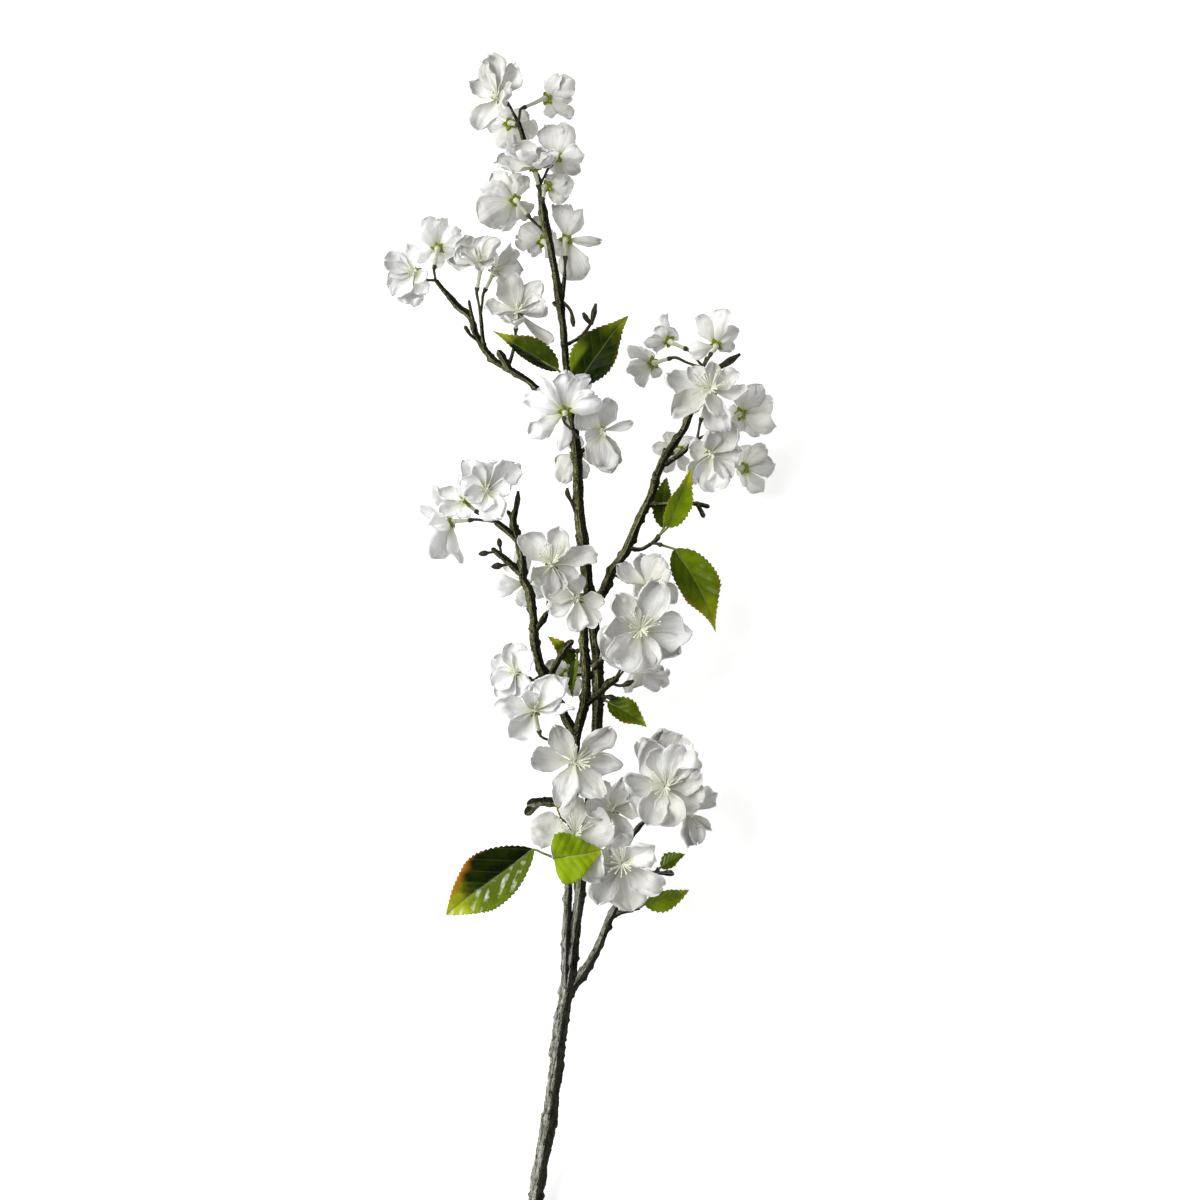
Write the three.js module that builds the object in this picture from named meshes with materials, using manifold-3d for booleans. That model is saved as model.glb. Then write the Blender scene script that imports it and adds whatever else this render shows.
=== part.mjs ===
// A flowering apple branch, cut and laid down: one woody branch, its blooms and its leaves.
// Millimetres. +Y runs along the branch to its tip, +Z is up from the surface that it lies on.
// The origin is on that surface, under the middle of the branch's box.
import * as THREE from "three";
import Module from "manifold-3d";

const wasm = await Module();
wasm.setup();

// Driving dimensions
const BLADE = 0.7; // thickness of petals and leaves
const PETAL_WIDTH = 0.66; // share of a petal's length
const PETAL_WIDTH_MOST = 18;
const PETAL_BOW = 0.1; // how far a petal's middle sags, as a share of its length
const PETAL_TWIST = THREE.MathUtils.degToRad(12); // turns a petal on its length, over its neighbour
const PETAL_RUFFLE = 0.9;
const PETAL_ROOT = 1; // distance of a petal's root from the bloom's heart
const PETAL_SEEDS = 10; // draw numbers kept for the petals of a bloom
const PETAL_ROWS = [{ along: 0.5, half: 0.62 }, { along: 0.82, half: 0.94 }]; // shares of its sizes
const NECK_FOOT_RADIUS = 1.1;
const NECK_RADIUS = 1.5;
const CALYX_RADIUS = 2.6;
const CALYX_TOP_RADIUS = 2.2;
const CALYX_HEIGHT = 3; // from the top of the neck to the bloom's heart
const CALYX_RISE = 1.2; // from the heart to the top of the calyx, inside the petals
const SEPALS = 5;
const STAR_LEVEL = 2; // the calyx ring that the sepals stand on
const SEPAL_REACH = 4.4;
const SEPAL_DROP = 1.2; // how far the sepals lie below the heart
const STAMENS = 5;
const STAMEN_LENGTH = 13;
const STAMEN_RADIUS = 0.42;
const STAMEN_OPEN = [16, 32]; // degrees from the bloom's axis, of every other stamen in turn
const STAMEN_STRAY = 20; // degrees that a stamen may stand off its place in the ring
const STAMEN_UNEVEN = 0.15; // share by which stamens differ in length
const STALK_RADIUS = 0.8;
const STALK_CUP_RADIUS = 1.5;
const STALK_CUP_LENGTH = 3;
const STALK_CUP_SHARE = 0.4; // the most of a stalk's length that its cup may take
const SEAT_GAP = 0.3; // between a stalk and the neck or leaf stalk that sits on it
const LEAF_TOOTH_STEP = 10; // about how far apart the teeth of a leaf's edge are
const LEAF_TOOTH = 1.3;
const LEAF_ARCH = 0.06; // how far a leaf's rib rises, as a share of its length
const LEAF_FOLD = 0.16; // how far a leaf's halves rise from its rib, as a share of its width
const LEAF_EARLY = 0.72; // under 1 a leaf is widest in its near half
const LEAF_FULLNESS = 0.8; // under 1 a leaf's ends are blunter
const LEAF_PEAK = 0.62; // where a tooth's point lies between its two valleys
const LEAF_STALK_RADIUS = 0.7;
const LEAF_STALK_TIP_RADIUS = 0.5;
const LEAF_STALK_INTO = 0.14; // share of the leaf's length that its stalk runs into the rib
const LEAF_STALK_BEND = 0.6;
const THICK_ROUTE = { over: 3.4, sides: 6 }; // the branch's routes by their greatest radius
const MIDDLE_ROUTE = { over: 2.4, sides: 5 };
const THIN_ROUTE = { over: 0, sides: 4 };
const STALK_SIDES = 3;
const STAMEN_SIDES = 3;
const LEAF_STALK_SIDES = 4;
const BUD_SIDES = 6;
const FACES_UP = 0.75; // a bloom whose axis rises or falls by more than this faces up or down
const BUD_STALK_RADIUS = 0.8;
const BUD_TIP_RADIUS = 0.6;
const BUD_RINGS = [{ along: -0.6, wide: 1 }, { along: 0.6, wide: 0.9 }]; // shares of its radius
const BUD_FOOT = 1.6; // how far its foot lies from its middle, likewise
const BUD_TIP = 1.8; // and its tip

// The branch: each route is a list of [x, y, z, radius].
const ROUTES = {
  trunk: [
    [-29, -360, 4.1, 4.2],
    [-24, -316, 13, 4.5],
    [-19, -290, 18, 4.7],
    [-14, -254, 25, 4.5],
    [-10, -220, 31, 4.6],
    [-6, -198, 34, 4.4],
    [-2.5, -171, 37, 3.6],
    [0.6, -147, 39, 3.3],
    [3, -123, 40.5, 3.3],
    [6, -99, 41.5, 3.3],
    [8.4, -75, 42.5, 3.3],
    [11, -46, 43.5, 3.4],
    [12, -20, 44, 3.7],
    [11.6, -2, 44, 3.6],
    [8, 27, 44.5, 3.5],
    [4.8, 51, 44.5, 3.5],
    [3, 66, 45, 3.9],
    [0.5, 90, 45, 3.4],
    [-0.6, 117, 45, 3.2],
    [-2, 132, 45, 3],
    [-5, 157, 45.5, 2.6],
    [-7.8, 183, 46, 2.2],
    [-9.2, 200, 46, 2.2],
    [-11, 211, 46, 2.7],
    [-13, 225, 46.5, 2.2],
    [-17.4, 249, 47, 2.4],
    [-20, 261, 47, 2.7],
    [-22, 273, 47, 2.1],
    [-23, 283, 47.5, 1.6],
    [-27, 294, 48, 1.6],
    [-32.4, 309, 48, 1.5],
    [-36, 321, 48, 1.4],
  ],
  front_strand: [
    [-7.6, -204, 35, 2.6],
    [-7.2, -171, 39, 2.6],
    [-6, -147, 41, 2.4],
    [-4.6, -121, 42.5, 2.2],
    [-2.8, -97, 43.5, 2],
    [-1.2, -76, 44, 1.9],
    [-1.2, -54, 44.5, 2.2],
    [1.2, -40, 45, 2.7],
    [4.4, -26, 46, 3],
    [4.8, -10, 46.5, 3],
    [3.4, 8, 46.5, 2.9],
    [4, 24, 45.5, 2.2],
  ],
  low_right: [
    [-7, -206, 33, 3],
    [-1.8, -198, 34, 3.2],
    [4.2, -190, 36, 3],
    [8.4, -183, 38, 2.7],
    [12, -176, 39, 2.5],
    [15, -169, 40, 2.5],
    [18.5, -160, 41, 2.5],
    [23, -151, 41.5, 2.2],
    [25, -138, 41, 1.8],
    [27, -120, 39, 1.6],
    [34, -107, 38, 1.5],
    [42, -98, 38, 1.3],
  ],
  low_right_spur: [
    [19, -158, 41, 2.2],
    [27, -154.5, 42, 1.6],
    [34, -153.5, 42.5, 1.3],
  ],
  low_right_twig: [
    [25, -136, 41, 1.4],
    [36, -131, 41, 1.2],
    [46, -131, 42, 1],
    [58, -132, 42, 1.7],
  ],
  mid_left: [
    [-1, -50, 44, 2.8],
    [-10, -32, 43.5, 2.8],
    [-18, -15, 44, 2.9],
    [-22.4, -7, 44.5, 2.9],
    [-24.8, 1, 45, 2.9],
    [-26.4, 12, 45, 2.9],
    [-26.6, 21, 45, 2.6],
    [-28.2, 33, 45.5, 2.6],
    [-29.4, 39, 45.5, 2.6],
    [-33, 46, 45.5, 2.5],
    [-33.6, 57, 45.5, 2.4],
    [-35.6, 67, 46, 2.4],
    [-38.4, 76, 46, 2.4],
    [-39, 82, 46, 2.2],
    [-37.2, 88.5, 46, 1.9],
  ],
  mid_right: [
    [8, 28, 44.5, 3],
    [15, 38, 44, 2.9],
    [20.4, 50, 43.5, 2.8],
    [28, 61, 43, 2.8],
    [31.6, 69, 42.5, 2.7],
    [35.2, 77, 42, 2.5],
    [39, 86, 41.5, 2.4],
    [44, 96, 41, 2.4],
    [47, 106, 40, 2.4],
    [51, 117, 39, 2.5],
    [57.4, 127, 38, 2.3],
    [62.6, 134, 37, 2.3],
    [67, 144, 36, 2.1],
    [71, 155, 35, 1.9],
    [74, 166, 34.5, 1.7],
    [75.6, 175, 34.5, 1.7],
  ],
  high_left: [
    [-4, 150, 45.5, 2.4],
    [-18, 155, 45, 2.2],
    [-30.6, 165, 44, 2.1],
    [-42, 172, 42, 2.1],
    [-50, 177, 39, 2],
    [-57, 185, 36, 2],
    [-62, 194, 32, 1.9],
    [-65.6, 204, 29.5, 1.9],
    [-72, 209.6, 27.5, 2.2],
    [-77, 215.6, 25, 1.7],
    [-82.6, 222, 23, 1.6],
    [-86.4, 227, 22, 1.4],
  ],
  low_left_stub: [
    [2, -90, 42, 2.6],
    [-8, -89.5, 41, 2.5],
    [-18, -88.5, 41, 2.5],
    [-24, -88.6, 41, 2.6],
    [-31, -90, 41, 2.9],
  ],
  low_left_stub_end: [
    [-24, -89, 41, 2.2],
    [-32, -96.4, 41, 2.6],
  ],
  root_spur: [
    [-18.5, -285, 19, 2],
    [-12.6, -283, 20, 1.3],
  ],
  cross_twig: [
    [5, -29, 46, 2.2],
    [13.2, -22.4, 46, 2.3],
    [19.2, -17, 46.5, 2.3],
    [24.6, -13.4, 47, 2.3],
  ],
  fork_twig: [
    [-18, -15, 44.5, 2.1],
    [-14.6, -8, 45, 2],
    [-10, 0, 46, 2],
    [-6, 6, 47, 1.9],
    [-2.6, 9, 47, 2],
  ],
  fork_twig_end: [
    [-7, 4, 46.4, 1.6],
    [-1, 1.6, 46.4, 1.6],
  ],
  mid_left_stub: [
    [-26, 15, 45.5, 2],
    [-22.4, 19, 46.5, 1.9],
    [-18.4, 26, 48, 2],
  ],
  mid_left_knot: [
    [-26, 15, 45, 2.4],
    [-30, 16, 45, 1.7],
  ],
  mid_left_spur: [
    [-38.6, 80, 46, 1.5],
    [-42.6, 87, 46, 1.4],
  ],
  mid_left_twig: [
    [-36, 68.6, 46, 2.1],
    [-42, 74, 46.4, 2.1],
    [-47, 78, 46.4, 1.9],
    [-50.6, 80.4, 46.4, 1.7],
  ],
  bud_twig: [
    [-33.6, 48, 45.4, 2],
    [-41, 55, 45.6, 1.9],
    [-47, 60, 45.6, 1.8],
    [-52, 64.4, 45.6, 1.7],
  ],
  mid_right_spur: [
    [42, 90, 41.4, 1.7],
    [52, 90.4, 41, 1.3],
    [67, 91, 40.6, 1.2],
    [73.4, 91.2, 40.6, 1.6],
  ],
  mid_right_spur_end: [
    [71.6, 91.2, 40.6, 1.4],
    [76, 82.4, 40.6, 1.6],
  ],
  mid_right_spur_tip: [
    [71.6, 91, 40.6, 1.3],
    [79.4, 89, 40.6, 1.7],
  ],
  mid_right_stub: [
    [53, 121, 38.6, 1.8],
    [51.6, 124.6, 38.6, 1.6],
  ],
  leaf_twig: [
    [31, 64, 43, 1.6],
    [38, 63.6, 42.4, 1.3],
    [44.6, 67.2, 42, 1.1],
  ],
  bloom_twig: [
    [51, 114, 39.4, 1.6],
    [60, 119.4, 40, 1.6],
    [68.4, 126.6, 41, 1.5],
    [72, 130, 41.6, 1.2],
  ],
  mid_right_knots: [
    [70.6, 155, 36, 1.4],
    [66, 158.6, 37.4, 1.2],
    [61, 163.4, 38.4, 1.5],
  ],
  mid_right_knot_low: [
    [66, 158, 37, 1.2],
    [59.6, 156.4, 38, 1.4],
  ],
  tip_stub_right: [
    [75.4, 172, 34.6, 1.3],
    [78, 180, 35, 1.3],
  ],
  long_bud: [
    [75, 170, 34.6, 1.3],
    [85, 173.4, 35, 1.7],
    [91.4, 177, 35.4, 2.4],
    [97.8, 181.4, 35.8, 1],
  ],
  high_left_stub: [
    [-40.6, 170.6, 42.4, 2],
    [-48.4, 183.4, 44, 2.3],
  ],
  high_left_shoot: [
    [-62, 194, 32, 1.1],
    [-64, 204, 33, 1],
    [-66, 214, 34, 0.9],
  ],
  high_left_bud_stalk: [
    [-61.6, 190, 34, 1],
    [-66, 194, 36, 1],
    [-68.4, 198.4, 37, 1.3],
  ],
  high_left_twig: [
    [-56.6, 184.4, 36.6, 1.4],
    [-58, 196, 37, 1.3],
    [-58.8, 206, 37, 1.2],
  ],
  leaf_side_twig: [
    [-42.6, 171.6, 42, 1.5],
    [-39.8, 180, 42, 1.2],
    [-37.6, 190, 43, 1],
  ],
  trunk_knot_high: [
    [-11, 210, 46, 2],
    [-15.6, 211.6, 46.6, 1.5],
  ],
  top_strand: [
    [-10.4, 210, 46, 1.5],
    [-9, 219, 45, 1.4],
    [-8, 230, 44, 1.2],
  ],
  hanging_bud: [
    [-8.6, 212, 47, 0.9],
    [-4.2, 206, 48.6, 1],
    [-3, 200, 49.4, 1.5],
    [-2.6, 197, 49.6, 0.8],
  ],
  bud_pair: [
    [-7.6, 186, 45, 1.2],
    [2, 192, 42.4, 1.1],
    [8.4, 200, 42, 1.1],
  ],
  bud_pair_left: [
    [8, 198.6, 42, 1.1],
    [4.6, 203, 42.4, 1.8],
    [3, 206, 42.6, 0.9],
  ],
  bud_pair_right: [
    [8, 198.6, 42, 1.1],
    [9.6, 206, 42, 1.9],
    [10.8, 211.4, 42, 0.9],
  ],
  trunk_bud: [
    [-1, 84, 46, 0.9],
    [-4, 92, 47, 1],
    [-6.4, 97.4, 47.4, 1.6],
    [-6.4, 100.4, 47.4, 0.8],
  ],
  trunk_twiglet: [
    [-0.6, 119, 44.6, 1.2],
    [2.6, 122.6, 43.4, 1.3],
    [5.6, 125.4, 42.8, 1.1],
  ],
  tip_bud: [
    [-37.4, 87, 46, 1.7],
    [-36.4, 93, 46, 1.9],
    [-36, 98.6, 46, 0.9],
  ],
  cross_twig_bud: [
    [19, -17, 47, 0.8],
    [26, -18.4, 48, 1],
    [30, -17, 48.4, 2],
    [33.4, -15.4, 48.6, 0.9],
  ],
  trunk_stub: [
    [9, -8, 47, 1.9],
    [13, -4, 48.4, 1.8],
    [16.5, -0.5, 49.4, 2],
  ],
  leaf_bud: [
    [13, -24.6, 46.5, 0.9],
    [16.5, -25, 49.5, 1],
    [20, -25.4, 50.6, 1.9],
    [24, -26.2, 50.8, 0.8],
  ],
  top_stub: [
    [-35.4, 319, 48, 1.2],
    [-39.4, 326, 48.6, 1],
  ],
};

// Flower buds on short stalks that leave the bud twig at foot
const ROUND_BUDS = [
  { foot: [-49.6, 62, 45.6], middle: [-56.6, 61, 45.6], radius: 1.9 },
  { foot: [-46, 59.4, 45.6], middle: [-47.2, 67.4, 46.4], radius: 1.7 },
  { foot: [-41.6, 54.4, 45.6], middle: [-48.6, 53.4, 46.4], radius: 2.1 },
];

// Blooms. twig is where the stalk leaves the branch, cup is where the neck sits on the stalk, heart is
// where the petals meet, and facing is the bloom's axis. open is the angle between axis and petals.
// A petal is [turn, length] or [turn, length, open]. Turn 0 is +X and 90 is +Y on a bloom that faces
// up or down. On one that faces sideways, 0 is its left, 90 is up, and 180 is its right.
const BLOOMS = {
  top_1: {
    twig: [-36, 320, 48], cup: [-43, 331, 50], heart: [-48, 334, 58], facing: [-0.4, 0.1, 0.9],
    open: 72, petals: [[150, 21], [87, 26], [54, 23], [335, 17, 38], [246, 24], [10, 15]],
  },
  top_2: {
    twig: [-36, 320, 48], cup: [-31, 329, 51], heart: [-18.6, 334, 48], facing: [0.6, 0.1, -0.79],
    open: 68, petals: [[72, 16], [38, 19], [324, 19], [0, 15], [280, 12]],
  },
  top_3: {
    twig: [-34, 314, 48], cup: [-37, 319, 42.6], heart: [-41, 320, 36], facing: [-0.1, -0.15, -0.98],
    open: 78, petals: [[250, 16], [292, 15], [343, 18], [35, 15], [105, 15], [180, 14]],
  },
  top_4: {
    twig: [-23, 282, 47.5], cup: [-15.8, 294.8, 49], heart: [-12.6, 299.4, 46], facing: [0.4, 0.25, -0.87],
    open: 75, petals: [[114, 20], [76, 21], [8, 18], [306, 18], [262, 14]],
  },
  top_5: {
    twig: [-23, 279, 48], cup: [-24, 282, 56], heart: [-25.8, 291, 60.5], facing: [-0.1, 0.9, 0.35],
    open: 52, petals: [[0, 24, 62], [55, 20], [125, 18], [180, 17], [250, 18], [310, 21]],
  },
  top_6: {
    twig: [-20, 254, 47], cup: [-30.6, 264.6, 48], heart: [-37.8, 273, 46], facing: [-0.35, 0.12, -0.93],
    open: 70, petals: [[156, 22], [126, 23], [210, 25], [261, 24], [75, 17], [312, 14]],
  },
  top_7: {
    twig: [-21.6, 271, 47], cup: [-20.6, 274.6, 53], heart: [-18.4, 280.6, 52.6], facing: [0.62, 0.05, -0.78],
    open: 62, petals: [[6, 16], [46, 14], [322, 14], [88, 9], [285, 10]],
  },
  top_8: {
    twig: [-16, 242, 46], cup: [-17.4, 244, 40], heart: [-21.8, 249, 35], facing: [-0.5, 0.1, -0.85],
    open: 70, petals: [[178, 16], [131, 16], [88, 15], [234, 10], [30, 12], [318, 12]],
  },
  top_9: {
    twig: [-8, 229, 44], cup: [-7.6, 240, 42], heart: [-7.2, 250.2, 40], facing: [0.2, 0.25, -0.94],
    open: 78, petals: [[113, 22], [89, 21], [61, 20], [350, 21], [287, 26], [226, 13]],
  },

  left_1: {
    twig: [-86.4, 226.6, 22], cup: [-94, 228, 23], heart: [-98.6, 231, 30], facing: [-0.3, -0.15, 0.94],
    open: 72, petals: [[150, 20], [178, 18], [236, 19], [272, 20], [300, 15], [345, 13], [112, 18]],
  },
  left_2: {
    twig: [-86.4, 226.6, 22], cup: [-87.2, 236, 14.6], heart: [-85.7, 247.4, 7.43], facing: [0, 0.35, -0.92],
    open: 80, petals: [[127, 20], [80, 18], [28, 17], [340, 21], [196, 18], [265, 14]],
  },
  left_3: {
    twig: [-58.8, 205, 37], cup: [-60.6, 221.4, 40], heart: [-58.6, 235, 48], facing: [-0.05, 0.7, 0.7],
    open: 62, petals: [[355, 20], [300, 19], [250, 18], [190, 19], [135, 15], [38, 18]],
  },
  left_4: {
    twig: [-58.8, 205, 37], cup: [-55.4, 221.4, 33], heart: [-50, 231.6, 34], facing: [0.45, 0.55, 0.7],
    open: 64, petals: [[315, 15], [270, 18], [225, 18], [180, 17], [105, 11]],
  },
  left_5: {
    twig: [-37.6, 189, 43], cup: [-37.2, 196.6, 46], heart: [-36, 205.4, 53], facing: [0.05, 0.75, 0.65],
    open: 66, petals: [[0, 21], [303, 25], [238, 24], [185, 17], [62, 18], [122, 16], [158, 27, 97]],
  },

  centre_1: {
    twig: [0.2, 130, 46], cup: [-8.2, 141.8, 65.4], heart: [-7.8, 145.8, 58], facing: [-0.05, 0.4, -0.92],
    open: 80,
    petals: [[170, 26], [121, 24], [91, 24, 72], [55, 26, 74], [12, 22, 84], [222, 28, 88], [266, 23, 92]],
  },
  centre_2: {
    twig: [-3, 136, 45], cup: [3, 136, 44.5], heart: [14, 134.5, 47], facing: [0.35, -0.2, 0.9],
    open: 70, petals: [[11, 20], [270, 27], [292, 22], [248, 25], [185, 12], [140, 21, 100], [75, 20, 92]],
  },
  centre_3: {
    twig: [-1.4, 126, 44], cup: [-1.4, 124, 38], heart: [-1, 121, 32], facing: [-0.15, -0.3, -0.94],
    open: 72, petals: [[239, 21], [205, 15], [300, 16], [20, 14], [95, 14]],
  },

  right_1: {
    twig: [75, 174, 35], cup: [63.6, 184.8, 39], heart: [54.6, 189, 37], facing: [-0.55, 0.3, -0.79],
    open: 66, petals: [[78, 17], [177, 15], [126, 12], [30, 10], [228, 10]],
  },
  right_2: {
    twig: [75, 173, 34], cup: [54, 178.4, 33], heart: [44.8, 176, 29], facing: [-0.6, -0.1, -0.79],
    open: 66, petals: [[141, 18], [252, 16], [196, 16], [100, 12], [310, 10]],
  },
  right_3: {
    twig: [75.6, 174, 35], cup: [80, 181, 49.5], heart: [82.8, 186, 44.6], facing: [0, 0.35, -0.93],
    open: 80, petals: [[124, 21], [80, 23], [28, 17], [335, 12], [195, 16]],
  },
  right_4: {
    twig: [71.6, 129.4, 41.6], cup: [74.4, 142.6, 45], heart: [79.4, 159, 53], facing: [0.05, 0.2, 0.97],
    open: 76, petals: [[158, 28], [83, 17], [29, 20], [357, 23], [281, 20], [214, 31]],
  },
  right_5: {
    twig: [71.6, 129.4, 41.6], cup: [90, 140, 37], heart: [98.4, 145.2, 37], facing: [0.55, 0.15, -0.82],
    open: 68, petals: [[62, 21], [23, 21], [337, 22], [300, 18], [100, 16], [180, 13], [245, 13]],
  },
  right_6: {
    twig: [68, 126, 41], cup: [74, 122, 41], heart: [80, 121, 46], facing: [0.1, -0.25, 0.95],
    open: 74, petals: [[233, 22], [272, 23], [308, 19], [48, 24], [8, 18], [98, 16], [165, 14]],
  },
  right_7: {
    twig: [70, 128, 41], cup: [92, 115, 23.3], heart: [100.8, 112.8, 11.62], facing: [0.6, -0.15, -0.78],
    open: 62, petals: [[8, 19], [291, 18], [54, 18], [92, 17], [150, 13], [230, 14]],
  },
  right_8: {
    twig: [54, 121, 38], cup: [57, 121.6, 33], heart: [60, 123, 27], facing: [-0.2, -0.1, -0.97],
    open: 76, petals: [[175, 15], [110, 14], [240, 15], [305, 14], [40, 14]],
  },

  mid_left_1: {
    twig: [-50.4, 80.2, 46.4], cup: [-52.8, 85.6, 49], heart: [-54.6, 98.6, 54], facing: [-0.1, 0.2, 0.96],
    open: 74, petals: [[128, 22], [100, 17], [46, 24], [11, 15], [267, 15, 62], [299, 22], [168, 16]],
  },
  mid_left_2: {
    twig: [-50.4, 80.2, 46.4], cup: [-62, 87, 40], heart: [-68, 92, 42], facing: [-0.35, 0.25, 0.9],
    open: 70, petals: [[150, 19], [95, 17], [205, 17], [265, 13], [30, 13]],
  },
  mid_left_3: {
    twig: [-50.4, 80.2, 46], cup: [-66, 81, 37], heart: [-77, 79.4, 33], facing: [-0.8, -0.35, -0.35],
    open: 70, petals: [[0, 25], [42, 25], [100, 17], [150, 22], [188, 26], [270, 18]],
  },
  mid_left_4: {
    twig: [-18.4, 25.8, 48], cup: [-17.4, 43, 53], heart: [-15.6, 54, 62], facing: [0.05, 0.25, 0.96],
    open: 76, petals: [[134, 26], [73, 23], [12, 28], [229, 22], [290, 17]],
  },
  mid_left_5: {
    twig: [-31, 42, 45], cup: [-32, 43, 38.6], heart: [-31.6, 43, 32], facing: [-0.1, 0.05, -0.99],
    open: 76, petals: [[182, 19], [112, 21], [257, 15], [25, 14], [322, 14]],
  },
  mid_left_6: {
    twig: [5, 36, 46], cup: [2, 35.6, 49], heart: [-0.4, 34, 53.2], facing: [-0.1, -0.15, 0.97],
    open: 76, petals: [[0, 17], [318, 19], [272, 20], [208, 19], [168, 22, 68], [100, 15]],
  },

  mid_right_1: {
    twig: [22, -15.4, 48], cup: [31, 2, 49], heart: [37.2, 15, 57], facing: [0.05, 0.1, 0.98],
    open: 76, petals: [[125, 27], [70, 31], [0, 30], [293, 26], [236, 29], [186, 26]],
  },
  mid_right_2: {
    twig: [20.4, 49, 44], cup: [31, 44, 42], heart: [41, 42, 45.5], facing: [0.0, 0.3, 0.95],
    open: 72, petals: [[100, 19], [62, 20], [145, 21], [15, 20, 68], [329, 22, 68], [230, 14]],
  },
  mid_right_3: {
    twig: [24, -13.6, 46], cup: [31, -8, 42], heart: [37, -6, 40], facing: [0.3, -0.6, 0.2],
    open: 65, petals: [[345, 17], [290, 24], [240, 22], [195, 19], [25, 15]],
  },

  low_left_1: {
    twig: [-20, -11, 45], cup: [-30, -14, 45], heart: [-37, -10.4, 50], facing: [-0.35, 0.1, 0.93],
    open: 72, petals: [[96, 18], [145, 17], [192, 17], [240, 19], [45, 16], [318, 13, 106]],
  },
  low_left_2: {
    twig: [-1, -58, 45], cup: [-23.4, -45, 51.6], heart: [-25.8, -33, 59.6], facing: [-0.05, 0.55, 0.83],
    open: 72,
    petals: [[98, 17], [56, 24], [33, 27], [8, 18], [344, 26, 76], [192, 24], [240, 26], [138, 14, 50]],
  },
  low_left_3: {
    twig: [3, -12, 44], cup: [-3, -12, 38], heart: [-7, -12, 31], facing: [-0.1, 0.1, -0.98],
    open: 76, petals: [[90, 16], [160, 14], [230, 16], [300, 16], [20, 12]],
  },

  low_1: {
    twig: [-1, -68, 45], cup: [-4, -66.4, 50], heart: [-1.8, -64.2, 58], facing: [0.15, 0.1, 0.97],
    open: 76, petals: [[122, 26], [51, 29], [2, 29], [310, 28], [246, 28], [178, 28]],
  },
  low_2: {
    twig: [40, -100, 39], cup: [46, -91, 48], heart: [52.2, -79.2, 57], facing: [0.05, 0.15, 0.97],
    open: 76, petals: [[118, 29], [60, 27], [17, 24], [279, 27], [239, 29], [180, 26]],
  },
  low_3: {
    twig: [41, -98.6, 38], cup: [48, -77, 40], heart: [52, -67, 42], facing: [0.05, 0.35, 0.93],
    open: 72, petals: [[135, 21], [98, 22], [60, 22], [18, 22], [180, 15]],
  },
  low_4: {
    twig: [41, -98.6, 38], cup: [60, -93, 36], heart: [66, -94.2, 38], facing: [0.45, -0.35, 0.82],
    open: 68, petals: [[33, 20], [311, 18], [280, 20], [251, 22], [150, 14], [90, 15]],
  },
  low_5: {
    twig: [27, -119, 39.4], cup: [22, -100, 40], heart: [20.4, -93, 45], facing: [0, 0.2, 0.96],
    open: 74, petals: [[122, 22], [70, 20], [9, 24], [40, 21], [292, 24, 88], [190, 17], [240, 13, 82]],
  },
  low_6: {
    twig: [24.6, -140, 42], cup: [25, -134, 46], heart: [26.4, -124.8, 51], facing: [0, -0.15, 0.97],
    open: 76, petals: [[279, 30], [240, 29], [326, 28], [36, 27], [95, 18], [150, 15]],
  },
  low_7: {
    twig: [0, -114, 42], cup: [-1, -113, 46], heart: [-1.8, -108, 51], facing: [0, 0.2, 0.96],
    open: 76, petals: [[168, 27], [87, 24], [10, 25], [225, 20], [300, 17]],
  },
};

// The middle blooms that show their stamens
const SHOWS_STAMENS = new Set([
  "mid_left_4", "mid_right_1", "low_1", "low_2", "low_6", "low_7", "right_4",
]);

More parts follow.
